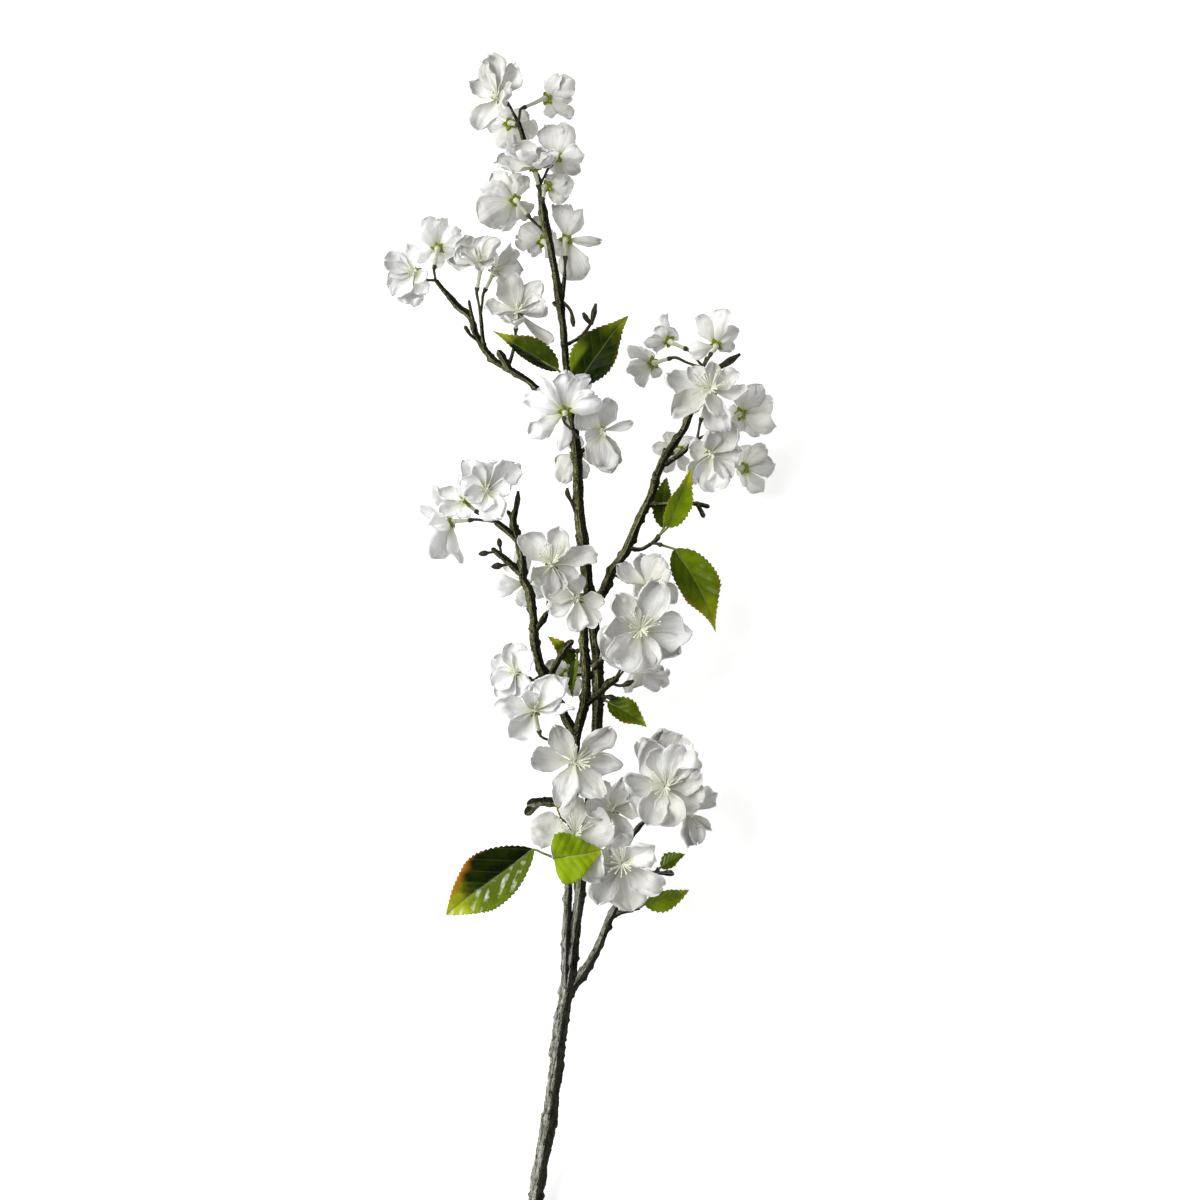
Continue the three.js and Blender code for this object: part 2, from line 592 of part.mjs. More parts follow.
// Leaves. joint is where the leaf stalk sits on its stub of the branch, and face is the way the blade's
// upper side faces.
const LEAVES = {
  high_left: {
    twig: [-6.4, 168, 45.6], joint: [-9.6, 168.6, 48], base: [-12, 171, 49], tip: [-51, 194.4, 50],
    face: [0.1, -0.15, 1], width: 19,
  },
  high_right: {
    twig: [-5, 160, 45.6], joint: [-2, 161, 48], base: [0, 163, 49.4], tip: [29.4, 204, 52],
    face: [-0.2, 0.3, 1], width: 27,
  },
  spur_front: {
    twig: [44, 67, 42], joint: [49, 72, 42.6], base: [54, 76.8, 44], tip: [68.4, 111, 52],
    face: [0.45, -0.1, 1], width: 15,
  },
  spur_back: {
    twig: [44, 67, 41.6], joint: [48.4, 71, 39], base: [51.6, 76.4, 37], tip: [53, 108, 26],
    face: [-0.3, 0.2, 1], width: 12,
  },
  mid_right: {
    twig: [44, 67, 42], joint: [50.6, 66, 41], base: [58.2, 63.6, 39.6], tip: [84, 13.8, 31],
    face: [0.25, 0.1, 1], width: 25,
  },
  cross: {
    twig: [12, -27, 44.6], joint: [16.6, -27.6, 45.4], base: [18, -28.4, 45.6], tip: [41.6, -43, 44],
    face: [-0.1, 0.4, 1], width: 14.5,
  },
  fork: {
    twig: [9, -5, 43], joint: [1, -6, 39], base: [-2.4, -5.6, 38.6], tip: [-18, 11.4, 40],
    face: [0.1, 0.3, 1], width: 9,
  },
  strand: {
    twig: [4, 1.4, 46.4], joint: [-0.6, 1, 45.8], base: [-0.6, -2.6, 45.2], tip: [-4, -25.6, 44.5],
    face: [-0.7, 0, 0.75], width: 7,
  },
  low_front: {
    twig: [-6, -130, 42.4], joint: [-12, -126, 52], base: [-14.4, -121, 60.4], tip: [15, -116.4, 61.4],
    face: [-0.1, -0.1, 1], width: 31, early: 0.46,
  },
  low_bud: {
    twig: [-3, -100, 43.6], joint: [-5.4, -102, 45], base: [-6.2, -101, 46], tip: [-14, -88.4, 47],
    face: [0.5, 0.4, 1], width: 8,
  },
  low_left: {
    twig: [-6, -134, 42], joint: [-14, -122, 46], base: [-26.4, -117, 45], tip: [-81, -157.2, 30],
    face: [-0.25, 0.15, 1], width: 34, early: 0.94,
  },
  low_right: {
    twig: [34, -153.4, 42.4], joint: [37, -152, 42], base: [40.2, -150, 41.6], tip: [67.2, -142.2, 38],
    face: [0, -0.4, 1], width: 13,
  },
  low_right_back: {
    twig: [46, -131, 42], joint: [48.6, -128.6, 43], base: [50, -127.6, 43.6], tip: [64, -119.4, 46],
    face: [-0.2, 0.6, 1], width: 10,
  },
};

const BARK = { color: 0x3d3a2a, roughness: 0.85 };
const PETAL = { color: 0xf2f0e8, roughness: 0.75 };
const LEAF = { color: 0x5c7a16, roughness: 0.4 };

const vector = (p) => new THREE.Vector3(p[0], p[1], p[2]);
const UP = new THREE.Vector3(0, 0, 1);

// A fixed draw between -1 and 1 for the number n of thing number seed
function draw(seed, n) {
  const value = Math.sin(seed * 12.9898 + n * 78.233) * 43758.5453;
  return 2 * (value - Math.floor(value)) - 1;
}

function solid(points, triangles) {
  const vertProperties = new Float32Array(points.flatMap((p) => [p.x, p.y, p.z]));
  const triVerts = new Uint32Array(triangles.flat());
  return new wasm.Manifold(new wasm.Mesh({ numProp: 3, vertProperties, triVerts }));
}

// Joins solids that meet, and fills any small pocket that this seals
function fuse(solids) {
  const bodies = solids.reduce((all, next) => all.add(next)).decompose();
  return bodies.reduce((most, next) => (next.volume() > most.volume() ? next : most));
}

// A closed tube through rings of the given radius at each point
function tube(points, radii, sides) {
  const curve = new THREE.CatmullRomCurve3(points, false, "centripetal");
  const rings = [];
  let side = null;
  points.forEach((point, i) => {
    const along = curve.getTangent(i / (points.length - 1)).normalize();
    if (!side) side = Math.abs(along.z) < 0.9 ? UP.clone() : new THREE.Vector3(1, 0, 0);
    side.addScaledVector(along, -side.dot(along)).normalize();
    const across = new THREE.Vector3().crossVectors(along, side);
    for (let k = 0; k < sides; k++) {
      const turn = (2 * Math.PI * k) / sides;
      const spoke = side.clone().multiplyScalar(Math.cos(turn)).addScaledVector(across, Math.sin(turn));
      rings.push(point.clone().addScaledVector(spoke, radii[i]));
    }
  });
  const triangles = [];
  for (let i = 0; i + 1 < points.length; i++) {
    for (let k = 0; k < sides; k++) {
      const a = i * sides + k;
      const b = i * sides + ((k + 1) % sides);
      triangles.push([a, b, b + sides], [a, b + sides, a + sides]);
    }
  }
  const last = (points.length - 1) * sides;
  for (let k = 1; k + 1 < sides; k++) {
    triangles.push([0, k + 1, k], [last, last + k, last + k + 1]);
  }
  return solid(rings, triangles);
}

// A blade of even thickness over a sheet of triangles, whose normals are given at its points
function blade(points, normals, sheet) {
  const n = points.length;
  const upper = points.map((p, i) => p.clone().addScaledVector(normals[i], BLADE / 2));
  const lower = points.map((p, i) => p.clone().addScaledVector(normals[i], -BLADE / 2));
  const triangles = [...sheet, ...sheet.map((t) => [n + t[0], n + t[2], n + t[1]])];
  const edges = new Set(sheet.flatMap((t) => [`${t[0]},${t[1]}`, `${t[1]},${t[2]}`, `${t[2]},${t[0]}`]));
  for (const edge of edges) {
    const [a, b] = edge.split(",").map(Number);
    if (!edges.has(`${b},${a}`)) triangles.push([a, n + a, n + b], [a, n + b, b]);
  }
  return solid([...upper, ...lower], triangles);
}

// A petal's sheet: its root, two points on the left, its tip, two points on the right
const PETAL_SHEET = [[0, 1, 5], [1, 2, 4], [1, 4, 5], [2, 3, 4]];

function petal(heart, facing, direction, length, seed) {
  const width = Math.min(PETAL_WIDTH * length, PETAL_WIDTH_MOST);
  const inner = facing.clone().addScaledVector(direction, -facing.dot(direction)).normalize();
  inner.applyAxisAngle(direction, PETAL_TWIST);
  const across = new THREE.Vector3().crossVectors(inner, direction);
  const points = [];
  const put = (share, sideways) => {
    const bow = -4 * PETAL_BOW * length * share * (1 - share);
    const ruffle = share > 0.5 ? PETAL_RUFFLE * draw(seed, points.length) : 0;
    points.push(heart.clone().addScaledVector(direction, length * share)
      .addScaledVector(across, (sideways * width) / 2)
      .addScaledVector(inner, bow + ruffle));
  };
  const [near, far] = PETAL_ROWS;
  put(PETAL_ROOT / length, 0);
  put(near.along, -near.half);
  put(far.along, -far.half);
  put(1, 0);
  put(far.along, far.half);
  put(near.along, near.half);
  return blade(points, points.map(() => inner), PETAL_SHEET);
}

// Two directions square to facing, from which a petal's turn is counted
function frameOf(facing) {
  if (Math.abs(facing.z) > FACES_UP) {
    const first = new THREE.Vector3(1, 0, 0);
    first.addScaledVector(facing, -first.dot(facing)).normalize();
    const second = new THREE.Vector3().crossVectors(facing, first);
    if (facing.z < 0) second.negate();
    return [first, second];
  }
  const second = UP.clone().addScaledVector(facing, -facing.z).normalize();
  return [new THREE.Vector3().crossVectors(second, facing), second];
}

function directionOf(facing, turn, open) {
  const [first, second] = frameOf(facing);
  const around = THREE.MathUtils.degToRad(turn);
  const lean = THREE.MathUtils.degToRad(open);
  return facing.clone().multiplyScalar(Math.cos(lean))
    .addScaledVector(first, Math.sin(lean) * Math.cos(around))
    .addScaledVector(second, Math.sin(lean) * Math.sin(around));
}

// The pale neck from its stalk up to the green cup with five sepals, in one closed loft
function neckAndCalyx(cup, heart, facing) {
  const reach = heart.clone().sub(cup).normalize();
  const levels = [
    [cup, reach, NECK_FOOT_RADIUS],
    [heart.clone().addScaledVector(facing, -CALYX_HEIGHT), facing, NECK_RADIUS],
    [heart.clone().addScaledVector(facing, -SEPAL_DROP), facing, CALYX_RADIUS],
    [heart.clone().addScaledVector(facing, CALYX_RISE), facing, CALYX_TOP_RADIUS],
  ];
  const [start] = frameOf(facing);
  const spoke = ([centre, along, radius], turn) => {
    const first = start.clone().addScaledVector(along, -start.dot(along)).normalize();
    const second = new THREE.Vector3().crossVectors(along, first);
    return centre.clone().addScaledVector(first, radius * Math.cos(turn))
      .addScaledVector(second, radius * Math.sin(turn));
  };
  const step = (2 * Math.PI) / SEPALS;
  const ring = (level) => Array.from({ length: SEPALS }, (_, k) => spoke(level, k * step));
  const points = levels.flatMap(ring);
  const [starCentre, starFacing] = levels[STAR_LEVEL];
  for (let k = 0; k < SEPALS; k++) {
    points.push(spoke([starCentre, starFacing, SEPAL_REACH], (k + 0.5) * step));
  }
  const triangles = [];
  const sepal = levels.length * SEPALS;
  for (let k = 0; k < SEPALS; k++) {
    const next = (k + 1) % SEPALS;
    const at = (level, spokeNumber) => level * SEPALS + spokeNumber;
    triangles.push([at(0, k), at(0, next), at(1, next)], [at(0, k), at(1, next), at(1, k)]);
    const point = sepal + k;
    triangles.push([at(1, k), at(1, next), point], [at(1, k), point, at(2, k)]);
    triangles.push([at(1, next), at(2, next), point], [at(2, k), point, at(3, k)]);
    triangles.push([point, at(2, next), at(3, next)], [point, at(3, next), at(3, k)]);
  }
  const top = (levels.length - 1) * SEPALS;
  for (let k = 1; k + 1 < SEPALS; k++) {
    triangles.push([0, k + 1, k], [top, top + k, top + k + 1]);
  }
  return solid(points, triangles);
}

function stamens(heart, facing, seed) {
  const made = [];
  for (let k = 0; k < STAMENS; k++) {
    const turn = (360 * k) / STAMENS + STAMEN_STRAY * draw(seed, k);
    const direction = directionOf(facing, turn, STAMEN_OPEN[k % 2]);
    const length = STAMEN_LENGTH * (1 + STAMEN_UNEVEN * draw(seed, STAMENS + k));
    const tip = heart.clone().addScaledVector(direction, length);
    made.push(tube([heart, tip], [STAMEN_RADIUS, STAMEN_RADIUS], STAMEN_SIDES));
  }
  return made;
}

function bloom(name, row, seed) {
  const heart = vector(row.heart);
  const facing = vector(row.facing).normalize();
  const pieces = [neckAndCalyx(vector(row.cup), heart, facing)];
  row.petals.forEach(([turn, length, open], k) => {
    const direction = directionOf(facing, turn, open ?? row.open);
    pieces.push(petal(heart, facing, direction, length, PETAL_SEEDS * seed + k));
  });
  if (SHOWS_STAMENS.has(name)) pieces.push(...stamens(heart, facing, seed));
  return fuse(pieces);
}

// A leaf's half width at a share of its length, as a share of the greatest
function leafHalfWidth(share, early) {
  return Math.sin(Math.PI * share ** early) ** LEAF_FULLNESS;
}

function leaf(row) {
  const base = vector(row.base);
  const joint = vector(row.joint);
  const along = vector(row.tip).sub(base);
  const length = along.length();
  along.normalize();
  const face = vector(row.face);
  face.addScaledVector(along, -face.dot(along)).normalize();
  const across = new THREE.Vector3().crossVectors(face, along);
  const teeth = Math.max(3, Math.round(length / LEAF_TOOTH_STEP));
  const early = row.early ?? LEAF_EARLY;
  const at = (share, sideways) => {
    const arch = LEAF_ARCH * length * Math.sin(Math.PI * share);
    return base.clone().addScaledVector(along, share * length)
      .addScaledVector(across, (sideways * row.width) / 2)
      .addScaledVector(face, arch + LEAF_FOLD * row.width * Math.abs(sideways));
  };
  const points = [];
  for (let i = 0; i <= teeth; i++) points.push(at(i / teeth, 0));
  const sheet = [];
  for (const side of [1, -1]) {
    let valley = 0;
    for (let i = 0; i < teeth; i++) {
      const share = (i + LEAF_PEAK) / teeth;
      const peak = points.length;
      points.push(at(share, side * (leafHalfWidth(share, early) + (2 * LEAF_TOOTH) / row.width)));
      let next = teeth;
      if (i + 1 < teeth) {
        next = points.length;
        points.push(at((i + 1) / teeth, side * leafHalfWidth((i + 1) / teeth, early)));
      }
      const fan = [[i, i + 1, peak]];
      if (i > 0) fan.push([i, peak, valley]);
      if (next !== teeth) fan.push([i + 1, next, peak]);
      sheet.push(...(side < 0 ? fan.map((t) => [t[0], t[2], t[1]]) : fan));
      valley = next;
    }
  }
  const normals = points.map(() => face);
  const middle = joint.clone().lerp(base, LEAF_STALK_BEND);
  const radii = [LEAF_STALK_RADIUS, LEAF_STALK_RADIUS, LEAF_STALK_TIP_RADIUS];
  const leafStalk = tube([joint, middle, at(LEAF_STALK_INTO, 0)], radii, LEAF_STALK_SIDES);
  return fuse([blade(points, normals, sheet), leafStalk]);
}

// A stalk from the branch to just under the neck or leaf stalk that it carries
function stalk(from, cup, next) {
  const start = vector(from);
  const end = vector(cup);
  const inward = end.clone().sub(vector(next)).normalize();
  end.addScaledVector(inward, SEAT_GAP);
  const reach = start.distanceTo(end);
  const below = end.clone().addScaledVector(inward, Math.min(STALK_CUP_LENGTH, STALK_CUP_SHARE * reach));
  return tube([start, below, end], [STALK_RADIUS, STALK_RADIUS, STALK_CUP_RADIUS], STALK_SIDES);
}

function bud({ foot, middle, radius }) {
  const start = vector(foot);
  const centre = vector(middle);
  const out = centre.clone().sub(start).normalize();
  const at = (distance) => centre.clone().addScaledVector(out, distance * radius);
  const line = [start, at(-BUD_FOOT), ...BUD_RINGS.map((ring) => at(ring.along)), at(BUD_TIP)];
  const widths = BUD_RINGS.map((ring) => radius * ring.wide);
  return tube(line, [BUD_STALK_RADIUS, BUD_STALK_RADIUS, ...widths, BUD_TIP_RADIUS], BUD_SIDES);
}

function branch() {
  const pieces = Object.values(ROUTES).map((route) => {
    const radii = route.map((p) => p[3]);
    const { sides } = [THICK_ROUTE, MIDDLE_ROUTE, THIN_ROUTE].find((kind) => Math.max(...radii) > kind.over);
    return tube(route.map(vector), radii, sides);
  });
  Object.values(BLOOMS).forEach((row) => pieces.push(stalk(row.twig, row.cup, row.heart)));
  Object.values(LEAVES).forEach((row) => pieces.push(stalk(row.twig, row.joint, row.base)));
  ROUND_BUDS.forEach((row) => pieces.push(bud(row)));
  return fuse(pieces);
}

function meshOf(name, made, look) {
  const { vertProperties, triVerts } = made.getMesh();
  const geometry = new THREE.BufferGeometry();
  geometry.setAttribute("position", new THREE.BufferAttribute(new Float32Array(vertProperties), 3));
  geometry.setIndex(new THREE.BufferAttribute(new Uint32Array(triVerts), 1));
  const mesh = new THREE.Mesh(geometry, new THREE.MeshStandardMaterial({ ...look, metalness: 0 }));
  mesh.name = name;
  return mesh;
}

const group = new THREE.Group();
group.add(meshOf("branch", branch(), BARK));
Object.entries(BLOOMS).forEach(([name, row], i) => {
  group.add(meshOf(`bloom_${name}`, bloom(name, row, i + 1), PETAL));
});
Object.entries(LEAVES).forEach(([name, row]) => {
  group.add(meshOf(`leaf_${name}`, leaf(row), LEAF));
});

export default group;
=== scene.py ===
# Dresses an apple blossom stem that is cut and laid down: bark, blooms and leaves, in metres,
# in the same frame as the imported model. The tables are in millimetres and are the model's own.
import math
from itertools import product

import bpy
import numpy as np
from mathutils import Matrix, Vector


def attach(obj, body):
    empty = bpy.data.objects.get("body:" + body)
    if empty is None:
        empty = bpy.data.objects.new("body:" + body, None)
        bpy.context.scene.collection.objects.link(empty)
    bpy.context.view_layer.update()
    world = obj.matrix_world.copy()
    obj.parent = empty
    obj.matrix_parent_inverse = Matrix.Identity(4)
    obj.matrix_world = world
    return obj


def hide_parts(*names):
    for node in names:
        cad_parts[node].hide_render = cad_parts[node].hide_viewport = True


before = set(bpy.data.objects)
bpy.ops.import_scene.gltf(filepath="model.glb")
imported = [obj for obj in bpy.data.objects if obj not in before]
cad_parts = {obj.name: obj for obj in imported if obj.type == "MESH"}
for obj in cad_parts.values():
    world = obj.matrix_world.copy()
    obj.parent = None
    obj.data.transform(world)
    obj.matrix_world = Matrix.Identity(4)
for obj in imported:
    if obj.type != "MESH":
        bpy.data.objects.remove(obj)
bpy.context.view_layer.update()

# The wood's routes from foot to tip: x, y, z and radius at each point
ROUTES = {
    "trunk": [
        (-29, -360, 4.1, 4.2), (-24, -316, 13, 4.5), (-19, -290, 18, 4.7), (-14, -254, 25, 4.5),
        (-10, -220, 31, 4.6), (-6, -198, 34, 4.4), (-2.5, -171, 37, 3.6), (0.6, -147, 39, 3.3),
        (3, -123, 40.5, 3.3), (6, -99, 41.5, 3.3), (8.4, -75, 42.5, 3.3), (11, -46, 43.5, 3.4),
        (12, -20, 44, 3.7), (11.6, -2, 44, 3.6), (8, 27, 44.5, 3.5), (4.8, 51, 44.5, 3.5),
        (3, 66, 45, 3.9), (0.5, 90, 45, 3.4), (-0.6, 117, 45, 3.2), (-2, 132, 45, 3),
        (-5, 157, 45.5, 2.6), (-7.8, 183, 46, 2.2), (-9.2, 200, 46, 2.2), (-11, 211, 46, 2.7),
        (-13, 225, 46.5, 2.2), (-17.4, 249, 47, 2.4), (-20, 261, 47, 2.7), (-22, 273, 47, 2.1),
        (-23, 283, 47.5, 1.6), (-27, 294, 48, 1.6), (-32.4, 309, 48, 1.5), (-36, 321, 48, 1.4)],
    "front_strand": [
        (-7.6, -204, 35, 2.6), (-7.2, -171, 39, 2.6), (-6, -147, 41, 2.4), (-4.6, -121, 42.5, 2.2),
        (-2.8, -97, 43.5, 2), (-1.2, -76, 44, 1.9), (-1.2, -54, 44.5, 2.2), (1.2, -40, 45, 2.7),
        (4.4, -26, 46, 3), (4.8, -10, 46.5, 3), (3.4, 8, 46.5, 2.9), (4, 24, 45.5, 2.2)],
    "low_right": [
        (-7, -206, 33, 3), (-1.8, -198, 34, 3.2), (4.2, -190, 36, 3), (8.4, -183, 38, 2.7),
        (12, -176, 39, 2.5), (15, -169, 40, 2.5), (18.5, -160, 41, 2.5), (23, -151, 41.5, 2.2),
        (25, -138, 41, 1.8), (27, -120, 39, 1.6), (34, -107, 38, 1.5), (42, -98, 38, 1.3)],
    "low_right_spur": [(19, -158, 41, 2.2), (27, -154.5, 42, 1.6), (34, -153.5, 42.5, 1.3)],
    "low_right_twig": [(25, -136, 41, 1.4), (36, -131, 41, 1.2), (46, -131, 42, 1), (58, -132, 42, 1.7)],
    "mid_left": [
        (-1, -50, 44, 2.8), (-10, -32, 43.5, 2.8), (-18, -15, 44, 2.9), (-22.4, -7, 44.5, 2.9),
        (-24.8, 1, 45, 2.9), (-26.4, 12, 45, 2.9), (-26.6, 21, 45, 2.6), (-28.2, 33, 45.5, 2.6),
        (-29.4, 39, 45.5, 2.6), (-33, 46, 45.5, 2.5), (-33.6, 57, 45.5, 2.4), (-35.6, 67, 46, 2.4),
        (-38.4, 76, 46, 2.4), (-39, 82, 46, 2.2), (-37.2, 88.5, 46, 1.9)],
    "mid_right": [
        (8, 28, 44.5, 3), (15, 38, 44, 2.9), (20.4, 50, 43.5, 2.8), (28, 61, 43, 2.8),
        (31.6, 69, 42.5, 2.7), (35.2, 77, 42, 2.5), (39, 86, 41.5, 2.4), (44, 96, 41, 2.4),
        (47, 106, 40, 2.4), (51, 117, 39, 2.5), (57.4, 127, 38, 2.3), (62.6, 134, 37, 2.3),
        (67, 144, 36, 2.1), (71, 155, 35, 1.9), (74, 166, 34.5, 1.7), (75.6, 175, 34.5, 1.7)],
    "high_left": [
        (-4, 150, 45.5, 2.4), (-18, 155, 45, 2.2), (-30.6, 165, 44, 2.1), (-42, 172, 42, 2.1),
        (-50, 177, 39, 2), (-57, 185, 36, 2), (-62, 194, 32, 1.9), (-65.6, 204, 29.5, 1.9),
        (-72, 209.6, 27.5, 2.2), (-77, 215.6, 25, 1.7), (-82.6, 222, 23, 1.6), (-86.4, 227, 22, 1.4)],
    "low_left_stub": [
        (2, -90, 42, 2.6), (-8, -89.5, 41, 2.5), (-18, -88.5, 41, 2.5), (-24, -88.6, 41, 2.6),
        (-31, -90, 41, 2.9)],
    "low_left_stub_end": [(-24, -89, 41, 2.2), (-32, -96.4, 41, 2.6)],
    "root_spur": [(-18.5, -285, 19, 2), (-12.6, -283, 20, 1.3)],
    "cross_twig": [
        (5, -29, 46, 2.2), (13.2, -22.4, 46, 2.3), (19.2, -17, 46.5, 2.3), (24.6, -13.4, 47, 2.3)],
    "fork_twig": [
        (-18, -15, 44.5, 2.1), (-14.6, -8, 45, 2), (-10, 0, 46, 2), (-6, 6, 47, 1.9), (-2.6, 9, 47, 2)],
    "fork_twig_end": [(-7, 4, 46.4, 1.6), (-1, 1.6, 46.4, 1.6)],
    "mid_left_stub": [(-26, 15, 45.5, 2), (-22.4, 19, 46.5, 1.9), (-18.4, 26, 48, 2)],
    "mid_left_knot": [(-26, 15, 45, 2.4), (-30, 16, 45, 1.7)],
    "mid_left_spur": [(-38.6, 80, 46, 1.5), (-42.6, 87, 46, 1.4)],
    "mid_left_twig": [
        (-36, 68.6, 46, 2.1), (-42, 74, 46.4, 2.1), (-47, 78, 46.4, 1.9), (-50.6, 80.4, 46.4, 1.7)],
    "bud_twig": [(-33.6, 48, 45.4, 2), (-41, 55, 45.6, 1.9), (-47, 60, 45.6, 1.8), (-52, 64.4, 45.6, 1.7)],
    "mid_right_spur": [
        (42, 90, 41.4, 1.7), (52, 90.4, 41, 1.3), (67, 91, 40.6, 1.2), (73.4, 91.2, 40.6, 1.6)],
    "mid_right_spur_end": [(71.6, 91.2, 40.6, 1.4), (76, 82.4, 40.6, 1.6)],
    "mid_right_spur_tip": [(71.6, 91, 40.6, 1.3), (79.4, 89, 40.6, 1.7)],
    "mid_right_stub": [(53, 121, 38.6, 1.8), (51.6, 124.6, 38.6, 1.6)],
    "leaf_twig": [(31, 64, 43, 1.6), (38, 63.6, 42.4, 1.3), (44.6, 67.2, 42, 1.1)],
    "bloom_twig": [
        (51, 114, 39.4, 1.6), (60, 119.4, 40, 1.6), (68.4, 126.6, 41, 1.5), (72, 130, 41.6, 1.2)],
    "mid_right_knots": [(70.6, 155, 36, 1.4), (66, 158.6, 37.4, 1.2), (61, 163.4, 38.4, 1.5)],
    "mid_right_knot_low": [(66, 158, 37, 1.2), (59.6, 156.4, 38, 1.4)],
    "tip_stub_right": [(75.4, 172, 34.6, 1.3), (78, 180, 35, 1.3)],
    "long_bud": [
        (75, 170, 34.6, 1.3), (85, 173.4, 35, 1.7), (91.4, 177, 35.4, 2.4), (97.8, 181.4, 35.8, 1)],
    "high_left_stub": [(-40.6, 170.6, 42.4, 2), (-48.4, 183.4, 44, 2.3)],
    "high_left_shoot": [(-62, 194, 32, 1.1), (-64, 204, 33, 1), (-66, 214, 34, 0.9)],
    "high_left_bud_stalk": [(-61.6, 190, 34, 1), (-66, 194, 36, 1), (-68.4, 198.4, 37, 1.3)],
    "high_left_twig": [(-56.6, 184.4, 36.6, 1.4), (-58, 196, 37, 1.3), (-58.8, 206, 37, 1.2)],
    "leaf_side_twig": [(-42.6, 171.6, 42, 1.5), (-39.8, 180, 42, 1.2), (-37.6, 190, 43, 1)],
    "trunk_knot_high": [(-11, 210, 46, 2), (-15.6, 211.6, 46.6, 1.5)],
    "top_strand": [(-10.4, 210, 46, 1.5), (-9, 219, 45, 1.4), (-8, 230, 44, 1.2)],
    "hanging_bud": [
        (-8.6, 212, 47, 0.9), (-4.2, 206, 48.6, 1), (-3, 200, 49.4, 1.5), (-2.6, 197, 49.6, 0.8)],
    "bud_pair": [(-7.6, 186, 45, 1.2), (2, 192, 42.4, 1.1), (8.4, 200, 42, 1.1)],
    "bud_pair_left": [(8, 198.6, 42, 1.1), (4.6, 203, 42.4, 1.8), (3, 206, 42.6, 0.9)],
    "bud_pair_right": [(8, 198.6, 42, 1.1), (9.6, 206, 42, 1.9), (10.8, 211.4, 42, 0.9)],
    "trunk_bud": [(-1, 84, 46, 0.9), (-4, 92, 47, 1), (-6.4, 97.4, 47.4, 1.6), (-6.4, 100.4, 47.4, 0.8)],
    "trunk_twiglet": [(-0.6, 119, 44.6, 1.2), (2.6, 122.6, 43.4, 1.3), (5.6, 125.4, 42.8, 1.1)],
    "tip_bud": [(-37.4, 87, 46, 1.7), (-36.4, 93, 46, 1.9), (-36, 98.6, 46, 0.9)],
    "cross_twig_bud": [
        (19, -17, 47, 0.8), (26, -18.4, 48, 1), (30, -17, 48.4, 2), (33.4, -15.4, 48.6, 0.9)],
    "trunk_stub": [(9, -8, 47, 1.9), (13, -4, 48.4, 1.8), (16.5, -0.5, 49.4, 2)],
    "leaf_bud": [
        (13, -24.6, 46.5, 0.9), (16.5, -25, 49.5, 1), (20, -25.4, 50.6, 1.9), (24, -26.2, 50.8, 0.8)],
    "top_stub": [(-35.4, 319, 48, 1.2), (-39.4, 326, 48.6, 1)],
}

# Round buds: foot, middle and radius
ROUND_BUDS = [
    ((-49.6, 62, 45.6), (-56.6, 61, 45.6), 1.9),
    ((-46, 59.4, 45.6), (-47.2, 67.4, 46.4), 1.7),
    ((-41.6, 54.4, 45.6), (-48.6, 53.4, 46.4), 2.1),
]

